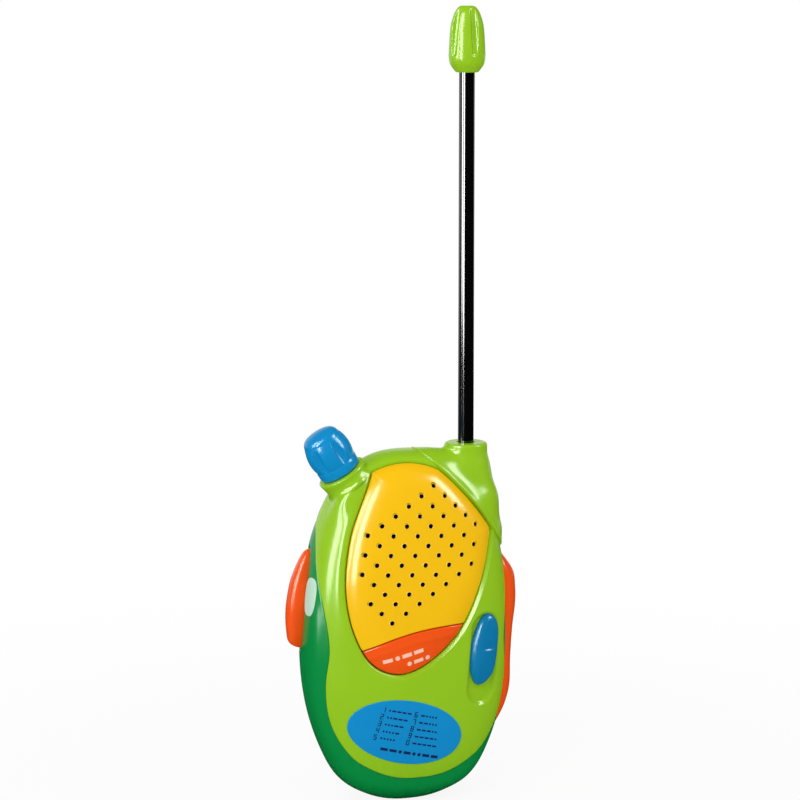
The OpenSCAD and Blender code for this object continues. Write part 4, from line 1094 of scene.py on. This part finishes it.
def make_key():
    step, ridge, ridge_below, ridge_w = 0.6, 0.3, 3.4, 1.1
    sheet = Sheet(even_plan((-36, -16), (30, 12), step), FRONT, step)
    seam = beside(key_line, -GAP / 2)
    sheet.trim(panel_line, PANEL_RIM)
    sheet.trim(seam, PANEL_SEAM)
    points, normals, falls = sheet.lift()
    inside, below = -panel_line(points, normals), -seam(points, normals)
    rise = pillow(inside) + ridge * np.exp(-((below - ridge_below) / ridge_w) ** 2)
    outer = points + normals * (rise - np.sum(falls, 0))[:, None]
    inner = points - normals * PANEL_T
    return closed_piece("code_key_cap", sheet, outer, inner, ORANGE, falls, "key", "orange", "code_key")


# Labels
LABEL_MID, LABEL_HALF, LABEL_TILT = (-6.5, 29.35), (22.0, 12.0), math.radians(-13.5)
LABEL_T, LABEL_RIM, LABEL_UNDER = 0.25, 0.2, 0.3


def make_label(name, line, low, high, material, rise_of, slot, node):
    step = 0.8
    sheet = Sheet(even_plan(low, high, step), FRONT, step)
    sheet.trim(line, LABEL_RIM)
    points, normals, falls = sheet.lift()
    rise = rise_of(points, normals)
    outer = points + normals * (LABEL_T - falls[0] + rise)[:, None]
    inner = points + normals * (rise - LABEL_UNDER)[:, None]
    return closed_piece(name, sheet, outer, inner, material, falls, "case", slot, node)


def flush(points, normals):
    return np.zeros(len(points))


def make_labels():
    code = Outline(superellipse(LABEL_MID, LABEL_HALF, 2.05, LABEL_TILT), FACE, lambda p: p[:, 1] < 0)
    talk = Outline(superellipse((-6.3, 78.8), (3.8, 7.0), 2.8), SIDE, on_left)
    label = make_label(
        "code_label_sheet", code, (-36, -60), (36, -8), LABEL_BLUE, flush, "label_blue", "code_label")
    make_label(
        "talk_label_sheet", talk, (-62, 2), (-34, 50), LABEL_MINT, rear_rise, "label_mint", "talk_label")
    return label


# Slider, talk button and grip
def at_level(points, axis, level):
    """Points moved along an axis to one level."""
    moved = points.copy()
    moved[:, axis] = level
    return moved


def make_slider():
    step, edge_r, shift, tilt, under = 0.4, 1.9, 0.35, math.radians(-5), 0.3
    across_r, along_r, blend = 8.5, 42, 0.8
    dish, dish_w, dish_z, dish_low, dish_high = 0.6, 3.4, 0.9, 0.75, 2.0

    def top(plan):
        u, w = plan.T
        across = across_r - np.sqrt(np.maximum(across_r ** 2 - u ** 2, 0))
        along = along_r - np.sqrt(along_r ** 2 - w ** 2)
        spread = np.where(w < dish_z, dish_low, dish_high)
        thumb = dish * np.exp(-((w - dish_z) / spread) ** 2 - (u / dish_w) ** 2)
        return np.column_stack([u + shift, thumb - melt(-across, -along, blend) - SLIDER_PROUD, w])

    sheet = Sheet(even_plan((-7, -14.5), (7, 14.5), step), Skin(top, step=0.1), step)
    edge = Outline(superellipse((shift, 0), SLIDER_HALF, 2.0, tilt), FACE)
    sheet.trim(edge, edge_r)
    points = top(sheet.plan)
    fall = roll(edge.flat(points)[0], edge_r)
    outer = points + np.array([0, 1, 0]) * np.minimum(fall, edge_r - 0.2)[:, None]
    inner = at_level(points, 1, CHANNEL_DEPTH - under)
    # The slider takes the darker blue, a painted shade
    closed_piece("power_slider_cap", sheet, from_slider(outer), from_slider(inner), SHADED_SLIDER_BLUE, [fall],
                 "slider", "blue", "power_slider")


TALK_PROFILE = [
    (-0.51, -0.3), (-0.44, 0.72), (-0.3, 0.95), (-0.1, 1), (0.1, 0.9), (0.2, 0.81), (0.3, 0.64), (0.4, 0.44),
    (0.47, 0.2), (0.51, -0.3)]
GRIP_PROFILE = [
    (23, -0.2), (29.8, 0.34), (35.3, 0.58), (41, 0.63), (51, 0.46), (62, 0.58), (71, 0.88), (77, 0.97),
    (84, 0.87), (92.2, -0.2)]
TALK_L, TALK_REACH, TALK_W, TALK_RIM, TALK_INNER = 37.6, 6.2, 13.0, 1.2, -31.1
GRIP_REACH, GRIP_Y, GRIP_W, GRIP_INNER, GRIP_T = 4.6, -3.6, 22.0, 31.0, 0.5
SWELL_SINK, SWELL_END = 0.6, 3


def end_share(share):
    """Width of a swelling at a share of its length from the middle."""
    return (1 - np.abs(share) ** SWELL_END) ** (1 / SWELL_END)


def swell_skin(profile, mid_y, wide, power, side):
    """A swelling on the left (-1) or right (1) of the case over a plan of depth and height."""
    line = through(profile, 12)
    mid_z, half_l = (line[0, 0] + line[-1, 0]) / 2, (line[-1, 0] - line[0, 0]) / 2

    def place(plan):
        y, z = plan.T
        half = wide / 2 * end_share(np.minimum(0.98, np.abs(z - mid_z) / half_l))
        rise = np.maximum(0, 1 - np.minimum(np.abs(y - mid_y) / half, 1) ** power) ** (1 / power)
        high = np.interp(z, line[:, 0], line[:, 1])
        return np.column_stack([side * (side_x(y, z) - SWELL_SINK + (high + SWELL_SINK) * rise), y, z])

    return Skin(place, step=0.15, turn=side)


def make_talk():
    step, power = 0.6, 2.4
    profile = [(TALK_MID[1] + z * TALK_L, r * TALK_REACH) for z, r in TALK_PROFILE]
    skin = swell_skin(profile, TALK_MID[0], TALK_W, power, -1)
    sheet = Sheet(even_plan((-3, 57), (9.5, 96), step), skin, step)
    edge = Outline(superellipse(TALK_MID, TALK_HALF, TALK_POWER), SIDE)
    sheet.trim(edge, TALK_RIM, shares=SHORT_RIM)
    points = skin.place(sheet.plan)
    fall = roll(edge.flat(points)[0], TALK_RIM)
    outer = points + np.array([1, 0, 0]) * fall[:, None]
    inner = at_level(points, 0, TALK_INNER)
    closed_piece("talk_button_cap", sheet, outer, inner, ORANGE, [fall], "talk", "orange", "talk_button")


def make_grip():
    step, power, last, inset = 0.8, 2.6, 0.975, 0.05
    low, high = GRIP_PROFILE[0][0], GRIP_PROFILE[-1][0]
    share = np.linspace(-last, last, 90)
    height = (low + high) / 2 + (high - low) / 2 * share
    half = GRIP_W / 2 * end_share(share) - inset
    sides = [np.column_stack([GRIP_Y + half, height]), np.column_stack([GRIP_Y - half, height])[::-1]]
    edge = Outline(np.concatenate(sides), SIDE)
    skin = swell_skin([(z, r * GRIP_REACH) for z, r in GRIP_PROFILE], GRIP_Y, GRIP_W, power, 1)
    sheet = Sheet(even_plan((-16, 20), (9, 94), step), skin, step)
    sheet.cut(edge, keep=-1)
    for level in (-0.06, -0.2, -0.45, -0.9, -1.6):
        sheet.cut(edge, level)
    points = skin.place(sheet.plan)
    inner = at_level(points, 0, np.minimum(GRIP_INNER, points[:, 0] - GRIP_T))
    closed_piece("finger_grip_pad", sheet, points, inner, ORANGE, [], "case", "orange", "finger_grip")


# Trees of geometry nodes
def geometry_tree(name, **kinds):
    """The graph of a new tree with named inputs, and a socket for each of them."""
    tree = bpy.data.node_groups.new(name, "GeometryNodeTree")
    for way in ("INPUT", "OUTPUT"):
        tree.interface.new_socket("Geometry", in_out=way, socket_type="NodeSocketGeometry")
    for label, kind in kinds.items():
        tree.interface.new_socket(label, in_out="INPUT", socket_type="NodeSocket" + kind)
    g = Graph(tree)
    return g, {label: g.node("NodeGroupInput", out=label) for label in ("Geometry", *kinds)}


def end_tree(g, geometry, material):
    whole = g.node("GeometryNodeRealizeInstances", {}, {"Geometry": geometry})
    finished = g.node("GeometryNodeSetMaterial", {}, {"Geometry": whole, "Material": material})
    g.node("NodeGroupOutput", {}, {"Geometry": finished})
    return g.tree


def on_points(g, points, shape, rotation, **more):
    return g.node("GeometryNodeInstanceOnPoints", {}, {
        "Points": points, "Instance": shape, "Rotation": rotation, **more})


def grow(piece, tree, **values):
    """Runs a tree on a piece and keeps what it makes as the piece's plain mesh."""
    modifier = piece.modifiers.new(tree.name, "NODES")
    modifier.node_group = tree
    for item in tree.interface.items_tree:
        if item.in_out == "INPUT" and item.name in values:
            modifier[item.identifier] = values[item.name]
    shown = piece.evaluated_get(bpy.context.evaluated_depsgraph_get())
    made = bpy.data.meshes.new_from_object(shown)
    piece.modifiers.remove(modifier)
    plain = piece.data
    piece.data = made
    bpy.data.meshes.remove(plain)
    return piece


def scatter(name, points, **values):
    """An object of loose points in millimetres, with values on them."""
    mesh = bpy.data.meshes.new(name)
    mesh.from_pydata((np.asarray(points, float) * MM).tolist(), [], [])
    for label, column in values.items():
        mark_points(mesh, label, column)
    return link(name, mesh)


def flute_tree():
    """Grooves down a lathed cap, each cut by a bent or leaning rod on the middle of its sector."""
    g, at = geometry_tree(
        "fluted_cap", Flutes="Float", Reach="Float", Ring="Float", Rod="Float", Height="Float", Lean="Float",
        Bend="Float", Fade="Float", Blend="Float", Material="Material")
    place = g.node("GeometryNodeInputPosition")
    x, y, z = g.split(place, 0, 1, 2)
    around = g.math("ARCTAN2", y, x)
    sector = math.tau / at["Flutes"]
    turn = (g.math("FRACT", around / sector) - 0.5) * sector
    middle = around - turn
    radius = g.math("SQRT", x * x + y * y)
    out, across = radius * g.math("COSINE", turn), radius * g.math("SINE", turn)
    rise = z - at["Height"]
    thick = at["Ring"] + g.math("SQRT", g.math("MAXIMUM", at["Rod"] * at["Rod"] - across * across, 0.0))
    deep = g.math("SQRT", g.math("MAXIMUM", thick * thick - at["Bend"] * rise * rise, 0.0))
    start = at["Fade"] * g.math("MAXIMUM", 0.0 - rise, 0.0)
    groove = at["Reach"] - at["Lean"] * rise - deep + start
    out = g.math("SMOOTH_MIN", out, groove, at["Blend"])
    c, s = g.math("COSINE", middle), g.math("SINE", middle)
    moved = g.combine({0: out * c - across * s, 1: out * s + across * c, 2: z})
    cap = g.node("GeometryNodeSetPosition", {}, {"Geometry": at["Geometry"], "Position": moved})
    return end_tree(g, cap, at["Material"])


def landing(g, points, surface):
    """Points moved along Y from far ahead to where they meet a surface, and the normals there."""
    target = g.node("GeometryNodeObjectInfo", {}, {"Object": surface}, "Geometry")
    ahead = g.vector("ADD", g.node("GeometryNodeInputPosition"), (0.0, -0.08, 0.0))
    sockets = {"Target Geometry": target, "Source Position": ahead, "Ray Direction": (0.0, 1.0, 0.0)}
    spot, normal = [g.node("GeometryNodeRaycast", {}, sockets, out) for out in ("Hit Position", "Hit Normal")]
    return g.node("GeometryNodeMeshToPoints", {}, {"Mesh": points, "Position": spot}), normal


def hole_tree():
    """A rounded lip round each sound hole, set square on the panel."""
    g, at = geometry_tree("sound_holes", Panel="Object", Hole="Float", Lip="Float", Material="Material")
    points, normal = landing(g, at["Geometry"], at["Panel"])
    line, section = [
        g.node("GeometryNodeCurvePrimitiveCircle", {}, {"Resolution": sides, "Radius": radius})
        for sides, radius in ((22, at["Hole"] + at["Lip"]), (7, at["Lip"]))]
    lip = g.node("GeometryNodeCurveToMesh", {}, {"Curve": line, "Profile Curve": section})
    square = g.node("FunctionNodeAlignRotationToVector", {"axis": "Z"}, {"Vector": normal})
    return end_tree(g, on_points(g, points, lip, square), at["Material"])


def mark_tree():
    """Printed dots and bars on a surface, each with its own length, width and turn."""
    g, at = geometry_tree("printed_marks", Surface="Object", Thick="Float", Material="Material")
    points, normal = landing(g, at["Geometry"], at["Surface"])
    long, wide, turn, dot = [
        g.node("GeometryNodeInputNamedAttribute", {"data_type": "FLOAT"}, {"Name": label})
        for label in ("long", "wide", "turn", "dot")]
    facing = g.node("FunctionNodeAlignRotationToVector", {"axis": "Z"}, {
        "Rotation": (math.pi / 2, 0.0, 0.0), "Vector": normal})
    angle = g.node("FunctionNodeEulerToRotation", {}, {0: g.combine({2: turn})})
    facing = g.node("FunctionNodeRotateRotation", {"rotation_space": "LOCAL"}, {
        "Rotation": facing, "Rotate By": angle})
    size = g.combine({0: long, 1: wide, 2: at["Thick"]})
    shapes = (
        (dot > 0.5, g.node("GeometryNodeMeshCylinder", {}, {"Vertices": 14, "Radius": 0.5, "Depth": 1.0})),
        (dot < 0.5, g.node("GeometryNodeMeshCube", {}, {"Size": (1.0, 1.0, 1.0)})))
    marks = [on_points(g, points, shape, facing, Selection=chosen, Scale=size) for chosen, shape in shapes]
    return end_tree(g, g.node("GeometryNodeJoinGeometry", {}, {0: marks}), at["Material"])


def screw_tree():
    """Cross-head screws that look back along Y."""
    g, at = geometry_tree(
        "cross_screws", Head="Float", Thick="Float", Shank="Float", Length="Float", Cross="Float",
        Slot="Float", Material="Material")
    head, shank = [
        g.node("GeometryNodeMeshCylinder", {}, {"Vertices": sides, "Radius": at[radius], "Depth": at[depth]})
        for sides, radius, depth in ((32, "Head", "Thick"), (20, "Shank", "Length"))]
    slot_size = g.combine({0: at["Cross"], 1: at["Slot"], 2: at["Thick"]})
    slot = g.node("GeometryNodeMeshCube", {}, {"Size": slot_size})
    up = g.combine({2: at["Thick"] * 0.5})
    for turn in (0.0, math.pi / 2):
        turned = g.node("GeometryNodeTransform", {}, {
            "Geometry": slot, "Translation": up, "Rotation": (0.0, 0.0, turn)})
        head = g.node("GeometryNodeMeshBoolean", {"operation": "DIFFERENCE"}, {
            "Mesh 1": head, "Mesh 2": turned})
    down = g.combine({2: (at["Thick"] + at["Length"]) * -0.48})
    shank = g.node("GeometryNodeTransform", {}, {"Geometry": shank, "Translation": down})
    screw = g.node("GeometryNodeJoinGeometry", {}, {0: [head, shank]})
    points = g.node("GeometryNodeMeshToPoints", {}, {"Mesh": at["Geometry"]})
    return end_tree(g, on_points(g, points, screw, (-math.pi / 2, 0.0, 0.25)), at["Material"])


FLUTES = flute_tree()
HOLES = hole_tree()
MARKS = mark_tree()
SCREW_FORM = screw_tree()


# Pieces grown by the trees
def make_knob():
    r, h = 8.4, 16.0
    ring, rod, depth, turn = 30.0, 1.75, 1.4, math.radians(12)
    foot = [
        (r - 1.5, -1.2), (r - 1.4, -0.9), (r - 1.0, -0.85), (r - 0.75, -0.75), (r - 0.62, -0.4),
        (r - 0.55, 0.6), (r - 0.5, 1.8), (r - 0.52, 2.3), (r - 0.64, 2.6), (r - 0.66, 2.8)]
    barrel = arc_through((r - 0.62, 3.0), (r, 0.45 * h), (r - 1.35, 0.805 * h), 34)
    crown = arc_through((r - 1.45, 0.82 * h), (r - 1.95, 0.895 * h), (r - 2.9, 0.947 * h), 12)
    lid = [(4.6, 0.966 * h), (3.4, 0.982 * h), (2.0, 0.993 * h), (0.4, h)]
    profile = np.concatenate([foot, barrel, crown, lid])
    knob = add_mesh("volume_knob_cap", *lathe(profile, 264), BLUE, sharp=60.0)
    grow(knob, FLUTES, Flutes=6.0, Reach=(r + ring + rod - depth) * MM, Ring=ring * MM, Rod=rod * MM,
         Height=0.58 * h * MM, Lean=0.0, Bend=1.0, Fade=0.0, Blend=0.12 * MM, Material=BLUE)
    way = Matrix(COLLAR_TURN.tolist()).to_4x4() @ Matrix.Rotation(turn, 4, "Z")
    knob.data.transform(Matrix.Translation(Vector(COLLAR * MM)) @ way)
    settle(knob, "knob", "blue", "volume_knob")


TIP_PROFILE = [
    (0, 0.6), (0.015, 0.66), (0.046, 0.75), (0.093, 0.87), (0.14, 0.95), (0.2, 0.99), (0.26, 1), (0.33, 0.99),
    (0.4, 0.98), (0.48, 0.965), (0.56, 0.945), (0.65, 0.92), (0.74, 0.87), (0.83, 0.775), (0.9, 0.68),
    (0.95, 0.57), (0.985, 0.45), (1, 0.33)]


def make_tip():
    low, high = node_box("antenna_tip")
    length, r = high[2] - low[2], 0.985 * (high[0] - low[0]) / 2
    rod, apart, lean, turn = 1.5, 0.8, math.radians(8.5), math.radians(24)
    line = through(TIP_PROFILE, 7)
    profile = np.column_stack([line[:, 1] * r, line[:, 0] * length])
    tip = add_mesh("antenna_tip_cap", *lathe(profile, 216), LIME, sharp=60.0)
    grow(tip, FLUTES, Flutes=5.0, Reach=(r + apart) * MM, Ring=0.0, Rod=rod * MM, Height=0.28 * length * MM,
         Lean=math.tan(lean), Bend=0.0, Fade=0.5, Blend=0.3 * MM, Material=LIME)
    place = Vector((ANTENNA[0], ANTENNA[1], low[2])) * MM
    tip.data.transform(Matrix.Translation(place) @ Matrix.Rotation(turn, 4, "Z"))
    settle(tip, "case", "lime", "antenna_tip")


def make_holes(panel):
    places = hole_places()
    lips = scatter("sound_hole_lips", np.column_stack([places[:, 0], np.zeros(len(places)), places[:, 1]]))
    # The lips take the paler yellow, a painted highlight
    grow(lips, HOLES, Panel=panel, Hole=HOLE_R * MM, Lip=HOLE_LIP * MM, Material=YELLOW_LIP_SHEEN)
    bpy.data.objects.remove(panel)
    settle(lips, "case", "yellow")


def make_screws():
    sizes = {"Head": 2.4, "Thick": 1.5, "Cross": 3.2, "Slot": 0.7, "Shank": 1.0}
    jobs = (("case_screw_heads", "case", "case_screws", SCREWS, 14),
            ("door_screw_head", "door", "door_screw", [(0, DOOR_SCREW_Z)], 5))
    for name, body, node, places, length in jobs:
        top = node_box(node)[1][1] - sizes["Thick"] / 2
        values = {label: size * MM for label, size in {**sizes, "Length": length}.items()}
        screws = grow(scatter(name, [(x, top, z) for x, z in places]), SCREW_FORM, Material=STEEL, **values)
        settle(screws, body, "steel", node)


SEGMENTS = {
    "a": (0, 1, 0), "b": (0.5, 0.5, 90), "c": (0.5, -0.5, 90), "d": (0, -1, 0), "e": (-0.5, -0.5, 90),
    "f": (-0.5, 0.5, 90), "g": (0, 0, 0)}
INK_T = 0.14
DIGITS = ["abcdef", "bc", "abged", "abgcd", "fgbc", "afgcd", "afgedc", "abc", "abcdefg", "abcdfg"]


class Print:
    """Marks set out on a flat sheet, then turned onto their place on the face."""

    def __init__(self, mid, tilt):
        self.mid = mid
        self.tilt = tilt
        self.rows = []

    def add(self, x, y, long, wide, turn=0.0, dot=0.0):
        self.rows.append((x, y, long, wide, turn, dot))

    def digit(self, value, x, y, half):
        for name in DIGITS[value]:
            u, v, turn = SEGMENTS[name]
            self.add(x + u * half, y + v * half, half * 1.25, 0.3 * half, math.radians(turn))

    def code(self, pattern, x, y, size, pitch):
        """A row of dots (0) and bars (1) from the left."""
        for bar in pattern:
            long = size * (2.1 if bar else 1.0)
            self.add(x + long / 2, y, long, size * (0.8 if bar else 1.0), 0.0, 1.0 - bar)
            x += long + pitch

    def put(self, name, surface, material, body, slot):
        x, y, long, wide, turn, dot = np.array(self.rows).T
        c, s = math.cos(self.tilt), math.sin(self.tilt)
        places = np.column_stack([self.mid[0] + x * c - y * s, np.zeros(len(x)), self.mid[1] + x * s + y * c])
        marks = scatter(name, places, long=long * MM, wide=wide * MM, turn=turn + self.tilt, dot=dot)
        grow(marks, MARKS, Surface=surface, Thick=INK_T * MM, Material=material)
        settle(marks, body, slot)


def digit_code(value):
    """Five dots and bars for a digit: dots first up to five, bars first above it."""
    value = value or 10
    return [int(k >= value) if value <= 5 else int(k < value - 5) for k in range(5)]


def make_marks(label, key):
    chart = Print(LABEL_MID, LABEL_TILT)
    row_pitch, half = 2.7, 0.9
    for value in range(1, 11):
        column, row = divmod(value - 1, 5)
        x, y = -11.0 + 12.6 * column - 0.1 * row, 7.2 - row_pitch * row
        chart.digit(value % 10, x, y, half)
        chart.code(digit_code(value % 10), x + 1.9, y, 0.72, 0.5)
    chart.code([1, 1, 0, 1, 0, 0, 1, 1], -8.2, -7.6, 1.3, 0.75)
    chart.put("chart_marks", label, INK_NAVY, "case", "label_blue")
    face = Print((-8.0, 57.7), math.radians(14))
    face.code([1, 0, 1, 1], -8.2, 0.9, 1.75, 0.95)
    face.code([0, 1, 0], 0.4, -2.6, 1.75, 0.95)
    face.put("key_marks", key, INK_PEACH, "key", "orange")


make_front()
make_rear()
make_bay()
make_door()
make_shoulder()
make_collar()
uncut_panel = make_grille()
code_key = make_key()
code_label = make_labels()
make_slider()
make_talk()
make_grip()
make_knob()
make_tip()
make_holes(uncut_panel)
make_screws()
make_marks(code_label, code_key)


# Camera, floor and lights
def look_at(thing, target, azimuth, elevation, away):
    """Sets a camera or a lamp on a ball round a target, looking at it."""
    a, e = math.radians(azimuth), math.radians(elevation)
    back = Vector((math.sin(a) * math.cos(e), -math.cos(a) * math.cos(e), math.sin(e)))
    thing.location = Vector(target) + back * away
    thing.rotation_mode = "QUATERNION"
    thing.rotation_quaternion = (-back).to_track_quat("-Z", "Y")


def make_camera():
    data = bpy.data.cameras.new("camera")
    data.sensor_width = 36.0
    data.lens = 135.98
    data.clip_end = 50.0
    camera = link("camera", data)
    look_at(camera, (-0.003, -0.006, 0.1494), -20, 9, 1.1)
    bpy.context.scene.camera = camera


def ramp(g, value, low, high, first, last):
    """A value eased from first to last between two limits."""
    return g.node("ShaderNodeMapRange", {"interpolation_type": "SMOOTHSTEP"}, {
        "Value": value, "From Min": low, "From Max": high, "To Min": first, "To Max": last})


def looks(g):
    """1 where the camera or a clear surface looks, and 1 where a gloss looks."""
    path = [g.node("ShaderNodeLightPath", out=k) for k in (0, 3, 6)]
    return (path[0] + path[2]) > 0.5, path[1]


# What a gloss sees ahead of the object, where a studio is dark, and behind it, where the backdrop is white
DARK_AHEAD, WHITE_BEHIND = 0.004, 0.9
WHITE = (1, 1, 1, 1)


def make_floor():
    half = 6.0
    mesh = bpy.data.meshes.new("floor")
    corners = [(-half, -half, 0), (half, -half, 0), (half, half, 0), (-half, half, 0)]
    mesh.from_pydata(corners, [], [(0, 1, 2, 3)])
    material, g, place = finish_material("white_floor")
    away = g.vector("LENGTH", place, out=1)
    depth, = g.split(place, 1)
    eye, gloss = looks(g)
    behind = ramp(g, depth, 0.3, 1.5, DARK_AHEAD, WHITE_BEHIND)
    white, dim = [g.node("ShaderNodeEmission", {}, {"Color": WHITE, "Strength": s}) for s in (1.0, behind)]
    plain = g.node("ShaderNodeBsdfDiffuse", {}, {"Color": (0.82, 0.82, 0.82, 1)})
    shown = g.node("ShaderNodeMixShader", {}, {0: ramp(g, away, 0.1, 0.4, 0.9, 1.0), 1: plain, 2: white})
    lit = g.node("ShaderNodeMixShader", {}, {0: eye, 1: plain, 2: shown})
    lit = g.node("ShaderNodeMixShader", {}, {0: gloss, 1: lit, 2: dim})
    g.node("ShaderNodeOutputMaterial", {}, {"Surface": lit})
    mesh.materials.append(material)
    link("floor", mesh)


def make_world():
    world = bpy.data.worlds.new("studio")
    world.use_nodes = True
    g = Graph(world.node_tree)
    level = 0.8
    way = g.node("ShaderNodeTexCoord", out=0)
    depth, height = g.split(way, 1, 2)
    eye, gloss = looks(g)
    shine = ramp(g, depth, 0.5, 1.0, DARK_AHEAD, WHITE_BEHIND) * ramp(g, height, 0.15, 0.55, 1.0, 0.1)
    strength = level + eye * (1 - level) + gloss * (shine - level)
    sky = g.node("ShaderNodeBackground", {}, {"Color": WHITE, "Strength": strength})
    g.node("ShaderNodeOutputWorld", {}, {"Surface": sky})
    bpy.context.scene.world = world


def add_softbox(name, azimuth, elevation, away, size, radiance, diffuse, gloss):
    """A lamp that lights either the surfaces or the gloss on them."""
    data = bpy.data.lights.new(name, "AREA")
    data.shape = "RECTANGLE"
    data.size, data.size_y = size
    data.energy = radiance * math.pi * size[0] * size[1]
    lamp = link(name, data)
    look_at(lamp, (0, 0, 0.09), azimuth, elevation, away)
    lamp.visible_diffuse = diffuse
    lamp.visible_glossy = gloss


make_camera()
make_floor()
make_world()
add_softbox("key_softbox", -42.0, 38.0, 1.6, (0.9, 0.9), 2.9, True, False)
add_softbox("left_strip", -84.0, 20.0, 1.2, (0.36, 1.05), 20.0, False, True)
add_softbox("near_strip", -57.0, 24.0, 0.9, (0.24, 0.95), 24.0, False, True)
add_softbox("right_strip", 62.0, 37.0, 1.2, (0.34, 0.66), 18.0, False, True)

bpy.context.scene.view_settings.view_transform = "Standard"
